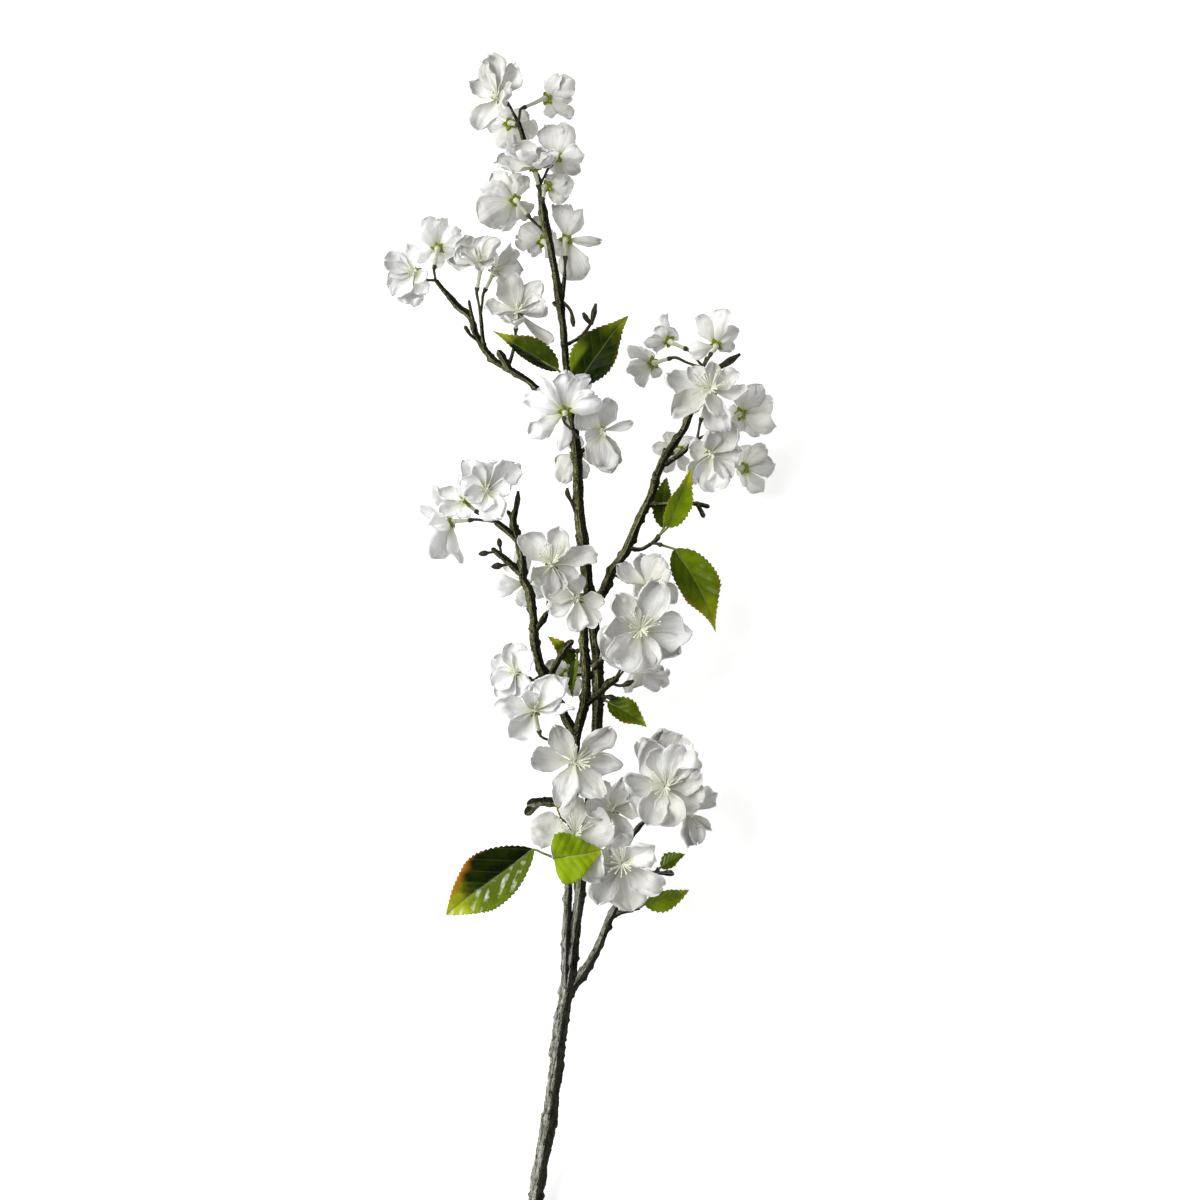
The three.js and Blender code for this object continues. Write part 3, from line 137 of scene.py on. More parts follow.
# Blooms: where the stalk leaves the wood, the stalk's end, the bloom's heart, the way it faces, how
# far its petals open, in degrees, and each petal's turn, length and, where it has its own, opening
BLOOMS = {
    "top_1": ((-36, 320, 48), (-43, 331, 50), (-48, 334, 58), (-0.4, 0.1, 0.9), 72, [
        (150, 21), (87, 26), (54, 23), (335, 17, 38), (246, 24), (10, 15)]),
    "top_2": ((-36, 320, 48), (-31, 329, 51), (-18.6, 334, 48), (0.6, 0.1, -0.79), 68, [
        (72, 16), (38, 19), (324, 19), (0, 15), (280, 12)]),
    "top_3": ((-34, 314, 48), (-37, 319, 42.6), (-41, 320, 36), (-0.1, -0.15, -0.98), 78, [
        (250, 16), (292, 15), (343, 18), (35, 15), (105, 15), (180, 14)]),
    "top_4": ((-23, 282, 47.5), (-15.8, 294.8, 49), (-12.6, 299.4, 46), (0.4, 0.25, -0.87), 75, [
        (114, 20), (76, 21), (8, 18), (306, 18), (262, 14)]),
    "top_5": ((-23, 279, 48), (-24, 282, 56), (-25.8, 291, 60.5), (-0.1, 0.9, 0.35), 52, [
        (0, 24, 62), (55, 20), (125, 18), (180, 17), (250, 18), (310, 21)]),
    "top_6": ((-20, 254, 47), (-30.6, 264.6, 48), (-37.8, 273, 46), (-0.35, 0.12, -0.93), 70, [
        (156, 22), (126, 23), (210, 25), (261, 24), (75, 17), (312, 14)]),
    "top_7": ((-21.6, 271, 47), (-20.6, 274.6, 53), (-18.4, 280.6, 52.6), (0.62, 0.05, -0.78), 62, [
        (6, 16), (46, 14), (322, 14), (88, 9), (285, 10)]),
    "top_8": ((-16, 242, 46), (-17.4, 244, 40), (-21.8, 249, 35), (-0.5, 0.1, -0.85), 70, [
        (178, 16), (131, 16), (88, 15), (234, 10), (30, 12), (318, 12)]),
    "top_9": ((-8, 229, 44), (-7.6, 240, 42), (-7.2, 250.2, 40), (0.2, 0.25, -0.94), 78, [
        (113, 22), (89, 21), (61, 20), (350, 21), (287, 26), (226, 13)]),
    "left_1": ((-86.4, 226.6, 22), (-94, 228, 23), (-98.6, 231, 30), (-0.3, -0.15, 0.94), 72, [
        (150, 20), (178, 18), (236, 19), (272, 20), (300, 15), (345, 13), (112, 18)]),
    "left_2": ((-86.4, 226.6, 22), (-87.2, 236, 14.6), (-85.7, 247.4, 7.43), (0, 0.35, -0.92), 80, [
        (127, 20), (80, 18), (28, 17), (340, 21), (196, 18), (265, 14)]),
    "left_3": ((-58.8, 205, 37), (-60.6, 221.4, 40), (-58.6, 235, 48), (-0.05, 0.7, 0.7), 62, [
        (355, 20), (300, 19), (250, 18), (190, 19), (135, 15), (38, 18)]),
    "left_4": ((-58.8, 205, 37), (-55.4, 221.4, 33), (-50, 231.6, 34), (0.45, 0.55, 0.7), 64, [
        (315, 15), (270, 18), (225, 18), (180, 17), (105, 11)]),
    "left_5": ((-37.6, 189, 43), (-37.2, 196.6, 46), (-36, 205.4, 53), (0.05, 0.75, 0.65), 66, [
        (0, 21), (303, 25), (238, 24), (185, 17), (62, 18), (122, 16), (158, 27, 97)]),
    "centre_1": ((0.2, 130, 46), (-8.2, 141.8, 65.4), (-7.8, 145.8, 58), (-0.05, 0.4, -0.92), 80, [
        (170, 26), (121, 24), (91, 24, 72), (55, 26, 74), (12, 22, 84), (222, 28, 88), (266, 23, 92)]),
    "centre_2": ((-3, 136, 45), (3, 136, 44.5), (14, 134.5, 47), (0.35, -0.2, 0.9), 70, [
        (11, 20), (270, 27), (292, 22), (248, 25), (185, 12), (140, 21, 100), (75, 20, 92)]),
    "centre_3": ((-1.4, 126, 44), (-1.4, 124, 38), (-1, 121, 32), (-0.15, -0.3, -0.94), 72, [
        (239, 21), (205, 15), (300, 16), (20, 14), (95, 14)]),
    "right_1": ((75, 174, 35), (63.6, 184.8, 39), (54.6, 189, 37), (-0.55, 0.3, -0.79), 66, [
        (78, 17), (177, 15), (126, 12), (30, 10), (228, 10)]),
    "right_2": ((75, 173, 34), (54, 178.4, 33), (44.8, 176, 29), (-0.6, -0.1, -0.79), 66, [
        (141, 18), (252, 16), (196, 16), (100, 12), (310, 10)]),
    "right_3": ((75.6, 174, 35), (80, 181, 49.5), (82.8, 186, 44.6), (0, 0.35, -0.93), 80, [
        (124, 21), (80, 23), (28, 17), (335, 12), (195, 16)]),
    "right_4": ((71.6, 129.4, 41.6), (74.4, 142.6, 45), (79.4, 159, 53), (0.05, 0.2, 0.97), 76, [
        (158, 28), (83, 17), (29, 20), (357, 23), (281, 20), (214, 31)]),
    "right_5": ((71.6, 129.4, 41.6), (90, 140, 37), (98.4, 145.2, 37), (0.55, 0.15, -0.82), 68, [
        (62, 21), (23, 21), (337, 22), (300, 18), (100, 16), (180, 13), (245, 13)]),
    "right_6": ((68, 126, 41), (74, 122, 41), (80, 121, 46), (0.1, -0.25, 0.95), 74, [
        (233, 22), (272, 23), (308, 19), (48, 24), (8, 18), (98, 16), (165, 14)]),
    "right_7": ((70, 128, 41), (92, 115, 23.3), (100.8, 112.8, 11.62), (0.6, -0.15, -0.78), 62, [
        (8, 19), (291, 18), (54, 18), (92, 17), (150, 13), (230, 14)]),
    "right_8": ((54, 121, 38), (57, 121.6, 33), (60, 123, 27), (-0.2, -0.1, -0.97), 76, [
        (175, 15), (110, 14), (240, 15), (305, 14), (40, 14)]),
    "mid_left_1": ((-50.4, 80.2, 46.4), (-52.8, 85.6, 49), (-54.6, 98.6, 54), (-0.1, 0.2, 0.96), 74, [
        (128, 22), (100, 17), (46, 24), (11, 15), (267, 15, 62), (299, 22), (168, 16)]),
    "mid_left_2": ((-50.4, 80.2, 46.4), (-62, 87, 40), (-68, 92, 42), (-0.35, 0.25, 0.9), 70, [
        (150, 19), (95, 17), (205, 17), (265, 13), (30, 13)]),
    "mid_left_3": ((-50.4, 80.2, 46), (-66, 81, 37), (-77, 79.4, 33), (-0.8, -0.35, -0.35), 70, [
        (0, 25), (42, 25), (100, 17), (150, 22), (188, 26), (270, 18)]),
    "mid_left_4": ((-18.4, 25.8, 48), (-17.4, 43, 53), (-15.6, 54, 62), (0.05, 0.25, 0.96), 76, [
        (134, 26), (73, 23), (12, 28), (229, 22), (290, 17)]),
    "mid_left_5": ((-31, 42, 45), (-32, 43, 38.6), (-31.6, 43, 32), (-0.1, 0.05, -0.99), 76, [
        (182, 19), (112, 21), (257, 15), (25, 14), (322, 14)]),
    "mid_left_6": ((5, 36, 46), (2, 35.6, 49), (-0.4, 34, 53.2), (-0.1, -0.15, 0.97), 76, [
        (0, 17), (318, 19), (272, 20), (208, 19), (168, 22, 68), (100, 15)]),
    "mid_right_1": ((22, -15.4, 48), (31, 2, 49), (37.2, 15, 57), (0.05, 0.1, 0.98), 76, [
        (125, 27), (70, 31), (0, 30), (293, 26), (236, 29), (186, 26)]),
    "mid_right_2": ((20.4, 49, 44), (31, 44, 42), (41, 42, 45.5), (0, 0.3, 0.95), 72, [
        (100, 19), (62, 20), (145, 21), (15, 20, 68), (329, 22, 68), (230, 14)]),
    "mid_right_3": ((24, -13.6, 46), (31, -8, 42), (37, -6, 40), (0.3, -0.6, 0.2), 65, [
        (345, 17), (290, 24), (240, 22), (195, 19), (25, 15)]),
    "low_left_1": ((-20, -11, 45), (-30, -14, 45), (-37, -10.4, 50), (-0.35, 0.1, 0.93), 72, [
        (96, 18), (145, 17), (192, 17), (240, 19), (45, 16), (318, 13, 106)]),
    "low_left_2": ((-1, -58, 45), (-23.4, -45, 51.6), (-25.8, -33, 59.6), (-0.05, 0.55, 0.83), 72, [
        (98, 17), (56, 24), (33, 27), (8, 18), (344, 26, 76), (192, 24), (240, 26), (138, 14, 50)]),
    "low_left_3": ((3, -12, 44), (-3, -12, 38), (-7, -12, 31), (-0.1, 0.1, -0.98), 76, [
        (90, 16), (160, 14), (230, 16), (300, 16), (20, 12)]),
    "low_1": ((-1, -68, 45), (-4, -66.4, 50), (-1.8, -64.2, 58), (0.15, 0.1, 0.97), 76, [
        (122, 26), (51, 29), (2, 29), (310, 28), (246, 28), (178, 28)]),
    "low_2": ((40, -100, 39), (46, -91, 48), (52.2, -79.2, 57), (0.05, 0.15, 0.97), 76, [
        (118, 29), (60, 27), (17, 24), (279, 27), (239, 29), (180, 26)]),
    "low_3": ((41, -98.6, 38), (48, -77, 40), (52, -67, 42), (0.05, 0.35, 0.93), 72, [
        (135, 21), (98, 22), (60, 22), (18, 22), (180, 15)]),
    "low_4": ((41, -98.6, 38), (60, -93, 36), (66, -94.2, 38), (0.45, -0.35, 0.82), 68, [
        (33, 20), (311, 18), (280, 20), (251, 22), (150, 14), (90, 15)]),
    "low_5": ((27, -119, 39.4), (22, -100, 40), (20.4, -93, 45), (0, 0.2, 0.96), 74, [
        (122, 22), (70, 20), (9, 24), (40, 21), (292, 24, 88), (190, 17), (240, 13, 82)]),
    "low_6": ((24.6, -140, 42), (25, -134, 46), (26.4, -124.8, 51), (0, -0.15, 0.97), 76, [
        (279, 30), (240, 29), (326, 28), (36, 27), (95, 18), (150, 15)]),
    "low_7": ((0, -114, 42), (-1, -113, 46), (-1.8, -108, 51), (0, 0.2, 0.96), 76, [
        (168, 27), (87, 24), (10, 25), (225, 20), (300, 17)]),
}

# Leaves: where the stalk leaves the wood, the stalk's end, the blade's foot and tip, the way it faces
# and its width
LEAVES = {
    "high_left": ((-6.4, 168, 45.6), (-9.6, 168.6, 48), (-12, 171, 49),
        (-51, 194.4, 50), (0.1, -0.15, 1), 19),
    "high_right": ((-5, 160, 45.6), (-2, 161, 48), (0, 163, 49.4), (29.4, 204, 52), (-0.2, 0.3, 1), 27),
    "spur_front": ((44, 67, 42), (49, 72, 42.6), (54, 76.8, 44), (68.4, 111, 52), (0.45, -0.1, 1), 15),
    "spur_back": ((44, 67, 41.6), (48.4, 71, 39), (51.6, 76.4, 37), (53, 108, 26), (-0.3, 0.2, 1), 12),
    "mid_right": ((44, 67, 42), (50.6, 66, 41), (58.2, 63.6, 39.6), (84, 13.8, 31), (0.25, 0.1, 1), 25),
    "cross": ((12, -27, 44.6), (16.6, -27.6, 45.4), (18, -28.4, 45.6),
        (41.6, -43, 44), (-0.1, 0.4, 1), 14.5),
    "fork": ((9, -5, 43), (1, -6, 39), (-2.4, -5.6, 38.6), (-18, 11.4, 40), (0.1, 0.3, 1), 9),
    "strand": ((4, 1.4, 46.4), (-0.6, 1, 45.8), (-0.6, -2.6, 45.2), (-4, -25.6, 44.5), (-0.7, 0, 0.75), 7),
    "low_front": ((-6, -130, 42.4), (-12, -126, 52), (-14.4, -121, 60.4),
        (15, -116.4, 61.4), (-0.1, -0.1, 1), 31),
    "low_bud": ((-3, -100, 43.6), (-5.4, -102, 45), (-6.2, -101, 46), (-14, -88.4, 47), (0.5, 0.4, 1), 8),
    "low_left": ((-6, -134, 42), (-14, -122, 46), (-26.4, -117, 45),
        (-81, -157.2, 30), (-0.25, 0.15, 1), 34),
    "low_right": ((34, -153.4, 42.4), (37, -152, 42), (40.2, -150, 41.6),
        (67.2, -142.2, 38), (0, -0.4, 1), 13),
    "low_right_back": ((46, -131, 42), (48.6, -128.6, 43), (50, -127.6, 43.6),
        (64, -119.4, 46), (-0.2, 0.6, 1), 10),
}

# Petals that show only between and behind a bloom's front ones: turn, length, opening
BACK_PETALS = {
    "mid_right_1": [(325, 28, 90), (212, 28, 88), (262, 25, 92)], "left_1": [(205, 18, 86)],
    "low_2": [(90, 26, 88), (330, 24, 88), (205, 24, 86)], "top_1": [(110, 22, 84)],
    "left_5": [(85, 17, 88), (200, 18, 86), (300, 16, 84)], "low_left_2": [(76, 21, 84)],
    "low_left_1": [(120, 16, 84), (215, 16, 84), (265, 15, 84)], "low_5": [(120, 20, 88)],
    "centre_1": [(145, 22, 80), (32, 21, 76)], "left_3": [(330, 17, 70), (220, 17, 70)],
    "mid_left_1": [(205, 14, 80), (72, 19, 86)], "right_4": [(128, 20, 86), (281, 27, 96)],
    "mid_left_4": [(260, 18, 86), (330, 18, 86)], "right_6": [(252, 20, 88), (70, 18, 84)],
    "low_7": [(302, 32, 94), (270, 22, 92)], "low_6": [(200, 25, 92)],
}

# Blooms whose petals are wider than the rest, or narrower, and by how much
FULLER = {
    "mid_right_1": 1.22, "mid_right_2": 1.15, "low_2": 1.15, "low_3": 1.2, "right_4": 1.1, "left_5": 1.2,
    "low_1": 0.86, "top_3": 1.15, "top_4": 1.15, "top_5": 1.3, "top_6": 1.15, "top_7": 1.15, "top_8": 1.1,
    "left_1": 1.1, "left_3": 1.15, "low_left_1": 1.2, "low_left_2": 1.1, "mid_left_1": 1.15,
    "right_6": 1.15, "centre_2": 1.15, "low_5": 1.15, "mid_left_3": 1.15, "low_6": 1.1, "low_7": 1.12,
}

# Petals that are rolled up along their length: bloom, number and share of their width
ROLLED = {
    ("top_9", 3): 0.45, ("left_5", 6): 0.4, ("centre_2", 0): 0.45, ("low_4", 1): 0.6, ("centre_1", 1): 0.5,
    ("centre_1", 5): 0.75, ("centre_2", 2): 0.7, ("low_left_2", 3): 0.7, ("low_left_2", 4): 0.5,
}

# Blooms whose petals end in a point, blooms in the light, whose petals get a lighter painted white and
# little painted shade, and blooms whose middle is green
POINTED = ("low_1", "low_left_2", "top_9", "mid_left_6", "left_3", "low_7", "centre_1", "left_1",
           "low_4")
LIT_BLOOMS = ("left_1", "left_2", "centre_1", "mid_left_1", "mid_left_2", "mid_left_3", "mid_left_5",
        "low_left_1", "low_left_2")
GREEN_HEARTS = ("mid_left_2",)

# Blooms that face the camera and show a full tuft of stamens: which way the tuft leans, as x and y
TUFTS = {
    "mid_left_4": (0.0, 0.35), "mid_right_1": (0.05, 0.05), "low_1": (0.45, 0.1), "low_2": (-0.1, 0.0),
    "low_6": (0.1, 0.15), "low_7": (0.1, 0.2), "right_4": (0.0, 0.1),
}
FULL_TUFT = (28, 1.0, 10.5)  # number of stamens, share of the widest spread, length
SMALL_TUFT = (7, 0.6, 4.2)

PETAL_WIDTH = 0.76  # share of a petal's length, laid flat
PETAL_WIDTH_MOST = 21.5
SHORT_PETAL = 20  # a petal that is shorter is wider for its length
SHORT_PETAL_WIDER = 0.02  # for each millimetre that it is shorter
PETAL_START = 0.8  # from the heart
PETAL_FOOT = 0.12  # width at its foot, as a share of its widest
PETAL_THICK = 0.26
PETAL_ROWS, PETAL_COLUMNS = 24, 16
LAYER_LEANS = (-5, 6)  # degrees by which a bloom's even and odd petals lean forwards

# What differs from petal to petal: number of its draw, middle value and how far the draw takes it.
# Angles are in degrees. The two halves roll up, from their start, and wave each in its own way.
PETAL_DRAWS = {
    "width": (1, 1, 0.17), "twist": (2, 0, 26), "blunt": (3, 2.3, 1.0), "point": (3, 1.5, 0.3),
    "widest": (4, 0.64, 0.09), "bow": (5, 24, 20), "curl": (6, -10, 105), "cup": (7, 34, 26),
    "left roll": (8, 15, 150), "left start": (18, 0.35, 0.25), "left wave": (10, 0, 3),
    "right roll": (9, 15, 150), "right start": (19, 0.35, 0.25), "right wave": (11, 0, 3),
    "ripple": (12, 0, 4), "notch": (13, 0, 0.07), "sway": (14, 0, 0.10), "lean": (15, 0, 13),
}
# Frayed edges: share of the width, how often along the petal, layer of noise
FRAYS = ((0.09, 7, 2.5), (0.07, 19, 4.5))
# Creases: share of the length, how often along and across the petal, layer of noise
CREASES = ((0.075, 2.6, 1.9, 0.5), (0.048, 5.6, 4.4, 3.5), (0.028, 11, 8, 6.5))
# Other depths as shares of the length: waves at the edges, ripples across, rib, uneven end
EDGE_WAVE, RIPPLE, RIB, UNEVEN_END = 0.055, 0.035, 0.018, 0.07

# Round forms: place along the axis and radius. A calyx's and an eye's start at the bloom's heart, an
# anther's at its filament's tip, and a round bud's are in radii of the bud
CALYX_FORM = ((-2.1, 1.6), (-1.3, 2.1), (-0.4, 2.3), (0.5, 1.9))
EYE_FORM = ((0.1, 1.9), (0.6, 1.6), (1.0, 0.7))
ANTHER_FORM = ((-0.5, 0.3), (0, 0.54), (0.6, 0.52), (1.1, 0.2))
ROUND_BUD_FORM = ((-1.3, 0.6), (-0.6, 0.95), (0.1, 1.0), (0.8, 0.85), (1.4, 0.5), (1.8, 0.1))
NECK_BACK, NECK_FRONT = 3, 1.6  # behind the heart
NECK_RADII = (1.15, 1.25, 1.5, 1.9)
FILAMENT_RADII = (0.42, 0.34, 0.28)
PETIOLE_RADII = (0.85, 0.75, 0.7, 0.55, 0.2)
STALK_RADII = (1.0, 0.8, 0.95, 1.5, 1.55)
BUD_NECK = 0.8
SEPALS = 5
SEPAL_START, SEPAL_REACH = 1.6, 4.5
SEPAL_HALF_WIDTH = 1.5
SEPAL_THICK = 0.35

LEAF_ARCH = 0.06
LEAF_FOLD = 0.2
LEAF_THICK = 0.4
LEAF_FULLNESS = 0.8
LEAF_VEINS = 6.0
VEIN_SLANT = 1.9
TOOTH_STEP, TOOTH_DEPTH = 2.8, 2.3
# The leaf's relief, as shares of its width or length: pillows between veins, waves, dents, tip's droop
QUILT, LEAF_WAVE, LEAF_DENTS, DROOP = 0.011, 0.035, 0.020, 0.06
# How near the foot a leaf is widest (less is nearer) and how much its end is narrowed
EARLY = {"low_front": 0.46, "low_left": 0.94}
USUAL_EARLY = 0.72
TAILS = {"high_left": 0.8, "mid_right": 0.85, "high_right": 0.62, "cross": 0.55}
USUAL_TAIL = 0.4
# The angle by which a leaf's second half is turned down out of its plane, in degrees
TURNED_DOWN = {"high_left": 58}

# Each leaf's tone: how dark its two halves are, partly its own deep green and partly painted shade,
# how yellow its outer part is, how orange its edge is (below 0 for an edge that is orange on the first
# half alone), and how much painted gloss highlight its second half has, or its first half where that is
# below 0
LEAF_TONES = {
    "high_left": (0.82, 1.0, 0.6, 0.2, -0.05), "high_right": (1.0, 0.97, 0.4, 0.15, 0.0),
    "spur_front": (0.05, 0.15, 1.0, 1.0, 0.0), "spur_back": (0.8, 0.85, 0.1, 0.0, 0.0),
    "mid_right": (0.65, 0.45, 0.9, 1.0, 0.1), "cross": (0.75, 0.6, 0.9, 1.0, 0.1),
    "fork": (0.75, 0.7, 1.0, 0.9, 0.0), "strand": (0.95, 0.6, 0.2, 0.0, 0.0),
    "low_front": (0.0, 0.0, 0.8, 0.45, 0.05), "low_bud": (0.3, 0.3, 0.7, 0.9, 0.0),
    "low_left": (1.0, 0.6, 0.8, -0.85, 0.7), "low_right": (0.35, 0.35, 0.4, 0.3, 0.1),
    "low_right_back": (0.8, 0.6, 0.0, 0.0, 0.45),
}
# A strip of another tone near the foot of a leaf's second half
STRIPS = {"high_right": (0.16, 0.22, 0.012)}

# Noise in the bark's relief: how often around the wood, layer, length of a wave along it
BARK_NOISE = {
    "ridges": (2.6, 0, 14), "lumps": (1.2, 5, 5), "knots": (1.1, 30, 3.2), "rings": (0.7, 9, 0.9),
    "swells": (0.35, 60, 9),
}
BARK_RELIEF, BUD_RELIEF, STALK_RELIEF, CALYX_RELIEF = 0.13, 0.05, 0.09, 0.08
KNOB_STEP, KNOB_LENGTH = 11, 1.9
KNOBS, TRUNK_KNOBS = 0.4, 0.06  # height as a share of the radius
THICK_WOOD, MIDDLING_WOOD = 3.4, 2.4  # radii above which a route gets more sides
NOT_BUDS = ("bud_twig", "bud_pair", "high_left_bud_stalk")

MM = 0.001  # metres
CUP_GAP = 0.3  # between a stalk and the bloom or leaf that it carries
RESTING = 0.8  # what is lower than this is pressed flat on the surface below
SCATTER = 43758.5453  # multiplies a sine so that its last digits can serve as a draw

# Colours. Bark's go from the darkest to the lightest, a leaf's are for its light half and its dark half,
# whose darkness is partly painted shade
# The second white is lighter, painted light for the blooms that stand in the light
WHITE, LIT_WHITE = (0.88, 0.875, 0.86), (0.97, 0.97, 0.965)
# The shade tone is painted shade laid in patches on the petals; the streak tone is the cloth's streaks,
# partly deepened as painted shade
THROAT, STREAK, SHADE = (0.70, 0.73, 0.46), (0.70, 0.70, 0.66), (0.64, 0.63, 0.55)
# Painted shade just inside a petal's edge, and a painted highlight on its rim
EDGE_SHADE, EDGE_HIGHLIGHT = (0.58, 0.58, 0.55), (0.90, 0.90, 0.90)
OLIVE_BARK = ((0.010, 0.010, 0.004), (0.155, 0.158, 0.052), (0.50, 0.51, 0.23))
GREY_BARK = ((0.026, 0.026, 0.018), (0.50, 0.50, 0.42), (0.85, 0.85, 0.75))
CRACK, RING = (0.012, 0.012, 0.008), (0.42, 0.42, 0.27)
# The second of these is painted shade, laid over the bark's right-hand side
SPECK, PAINTED_SHADE_SIDE = (0.58, 0.57, 0.40), (0.10, 0.10, 0.08)
LEAF_DEEP = ((0.165, 0.260, 0.003), (0.004, 0.010, 0.001))
LEAF_LIGHT = ((0.270, 0.400, 0.008), (0.013, 0.024, 0.0015))
VEIN = ((0.38, 0.46, 0.10), (0.15, 0.22, 0.07))
# The last of these is a painted highlight, the gloss painted on a leaf's swells
YELLOW, ORANGE, PAINTED_GLOSS = (0.42, 0.46, 0.012), (0.50, 0.17, 0.015), (0.70, 0.76, 0.62)
CUT_WOOD = ((0.30, 0.22, 0.12), (0.44, 0.35, 0.21))
FLOOR_WHITE = ((0.93, 0.93, 0.93), (0.95, 0.95, 0.95))
# Materials with no pattern but spots: light tone, dark tone, roughness, how fine the spots are
SPOTTED = {
    "neck": ((0.66, 0.67, 0.55), (0.50, 0.54, 0.36), 0.6, 900),
    "calyx": ((0.33, 0.38, 0.02), (0.10, 0.14, 0.008), 0.55, 900),
    "filament": ((0.86, 0.87, 0.78), (0.78, 0.80, 0.64), 0.6, 900),
    "anther": ((0.90, 0.89, 0.74), (0.82, 0.80, 0.58), 0.7, 900),
    "stalk": ((0.085, 0.08, 0.035), (0.018, 0.016, 0.009), 0.6, 900),
    "bud": ((0.050, 0.046, 0.020), (0.010, 0.009, 0.005), 0.6, 700),
    "petiole": ((0.24, 0.27, 0.07), (0.10, 0.12, 0.03), 0.5, 900),
}


def draw(seed, n):
    """A fixed draw between -1 and 1 for the number n of thing number seed."""
    value = math.sin(seed * 12.9898 + n * 78.233) * SCATTER
    return 2 * (value - math.floor(value)) - 1


def unit(v):
    v = np.asarray(v, float)
    return v / np.linalg.norm(v, axis=-1, keepdims=True)


def ramp(value, start, span):
    """0 up to start, 1 from start + span on, and a straight rise between."""
    return np.clip((value - start) / span, 0, 1)


def turned(a, b, angle):
    """a and b turned by angle in the plane that they span."""
    return a * np.cos(angle) + b * np.sin(angle), b * np.cos(angle) - a * np.sin(angle)


def rough(x, y, z):
    """Smooth noise between -1 and 1."""
    place = np.broadcast_arrays(x, y, z)
    cell = [np.floor(p) for p in place]
    share = [p - c for p, c in zip(place, cell)]
    share = [s * s * (3 - 2 * s) for s in share]
    total = 0
    for corner in product((0, 1), repeat=3):
        value = sum((c + i) * often for c, i, often in zip(cell, corner, (127.1, 311.7, 74.7)))
        value = np.sin(value) * SCATTER
        weight = math.prod(s if i else 1 - s for s, i in zip(share, corner))
        total = total + weight * (value - np.floor(value))
    return 2 * total - 1


def put(name, data):
    """A new object in the scene."""
    thing = bpy.data.objects.new(name, data)
    bpy.context.collection.objects.link(thing)
    return thing


class Piece:
    """Gathers points and faces in millimetres, and makes one object of them."""

    def __init__(self):
        self.points, self.faces, self.slots, self.places = [], [], [], []
        self.materials = []
        self.count = 0

    def add(self, points, faces, material, places):
        if material not in self.materials:
            self.materials.append(material)
        self.points.append(np.asarray(points, float))
        self.places.append(np.asarray(places, float))
        self.faces += (np.asarray(faces) + self.count).tolist()
        self.slots += [self.materials.index(material)] * len(faces)
        self.count += len(points)

    def make(self, name, node):
        points = np.concatenate(self.points)
        low = points[:, 2] < RESTING
        points[low, 2] = RESTING * np.exp(points[low, 2] / RESTING - 1)
        mesh = bpy.data.meshes.new(name)
        mesh.from_pydata((points * MM).tolist(), [], self.faces)
        for material in self.materials:
            mesh.materials.append(material)
        mesh.polygons.foreach_set("material_index", self.slots)
        mesh.polygons.foreach_set("use_smooth", [True] * len(self.faces))
        place = mesh.attributes.new("place", "FLOAT_VECTOR", "POINT")
        place.data.foreach_set("vector", np.concatenate(self.places).ravel())
        mesh.update()
        piece = put(name, mesh)
        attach(piece, "root")
        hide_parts(node)


def smooth_line(points, values, step):
    """Points about one step apart on a smooth line through these, values there, and the way along."""
    points = np.asarray(points, float)
    at = np.concatenate([[0], np.cumsum(np.linalg.norm(np.diff(points, axis=0), axis=1))])
    gaps = np.diff(at)[:, None]
    slopes = np.diff(points, axis=0) / gaps
    tangents = np.empty_like(points)
    tangents[0], tangents[-1] = slopes[0], slopes[-1]
    if len(points) > 2:
        tangents[1:-1] = (slopes[1:] * gaps[:-1] + slopes[:-1] * gaps[1:]) / (gaps[1:] + gaps[:-1])
    s = np.linspace(0, at[-1], max(3, int(at[-1] / step) + 1))
    i = np.clip(np.searchsorted(at, s, side="right") - 1, 0, len(points) - 2)
    h = gaps[i]
    t = ((s - at[i]) / h[:, 0])[:, None]
    line = (2 * t**3 - 3 * t**2 + 1) * points[i] + (t**3 - 2 * t**2 + t) * h * tangents[i]
    line += (3 * t**2 - 2 * t**3) * points[i + 1] + (t**3 - t**2) * h * tangents[i + 1]
    ease = t[:, 0] ** 2 * (3 - 2 * t[:, 0])
    values = np.asarray(values, float)
    return line, values[i] + (values[i + 1] - values[i]) * ease, s


def spokes(line, turns):
    """For each point of a line, unit spokes square to it at these turns, which don't twist along it."""
    along = unit(np.gradient(line, axis=0))
    side = np.array([0.0, 0, 1]) if abs(along[0, 2]) < 0.9 else np.array([1.0, 0, 0])
    rings = np.empty((len(line), len(turns), 3))
    for i, a in enumerate(along):
        side = unit(side - a * side.dot(a))
        rings[i] = np.cos(turns)[:, None] * side + np.sin(turns)[:, None] * np.cross(a, side)
    return rings


def bark_form(c, d, a, seed):
    """The bark's relief at a along the wood, where c and d are the cosine and sine of the turn."""
    wave = {name: rough(often * c + seed, often * d + layer, a / long)
            for name, (often, layer, long) in BARK_NOISE.items()}
    ridges = np.abs(wave["ridges"]) * 2 - 0.8
    knots = np.clip(wave["knots"] - 0.45, 0, 1)
    swells = np.clip(wave["swells"] - 0.35, 0, 1)
    return 0.8 * ridges + wave["lumps"] + 4.0 * knots + 0.55 * wave["rings"] + 1.6 * swells


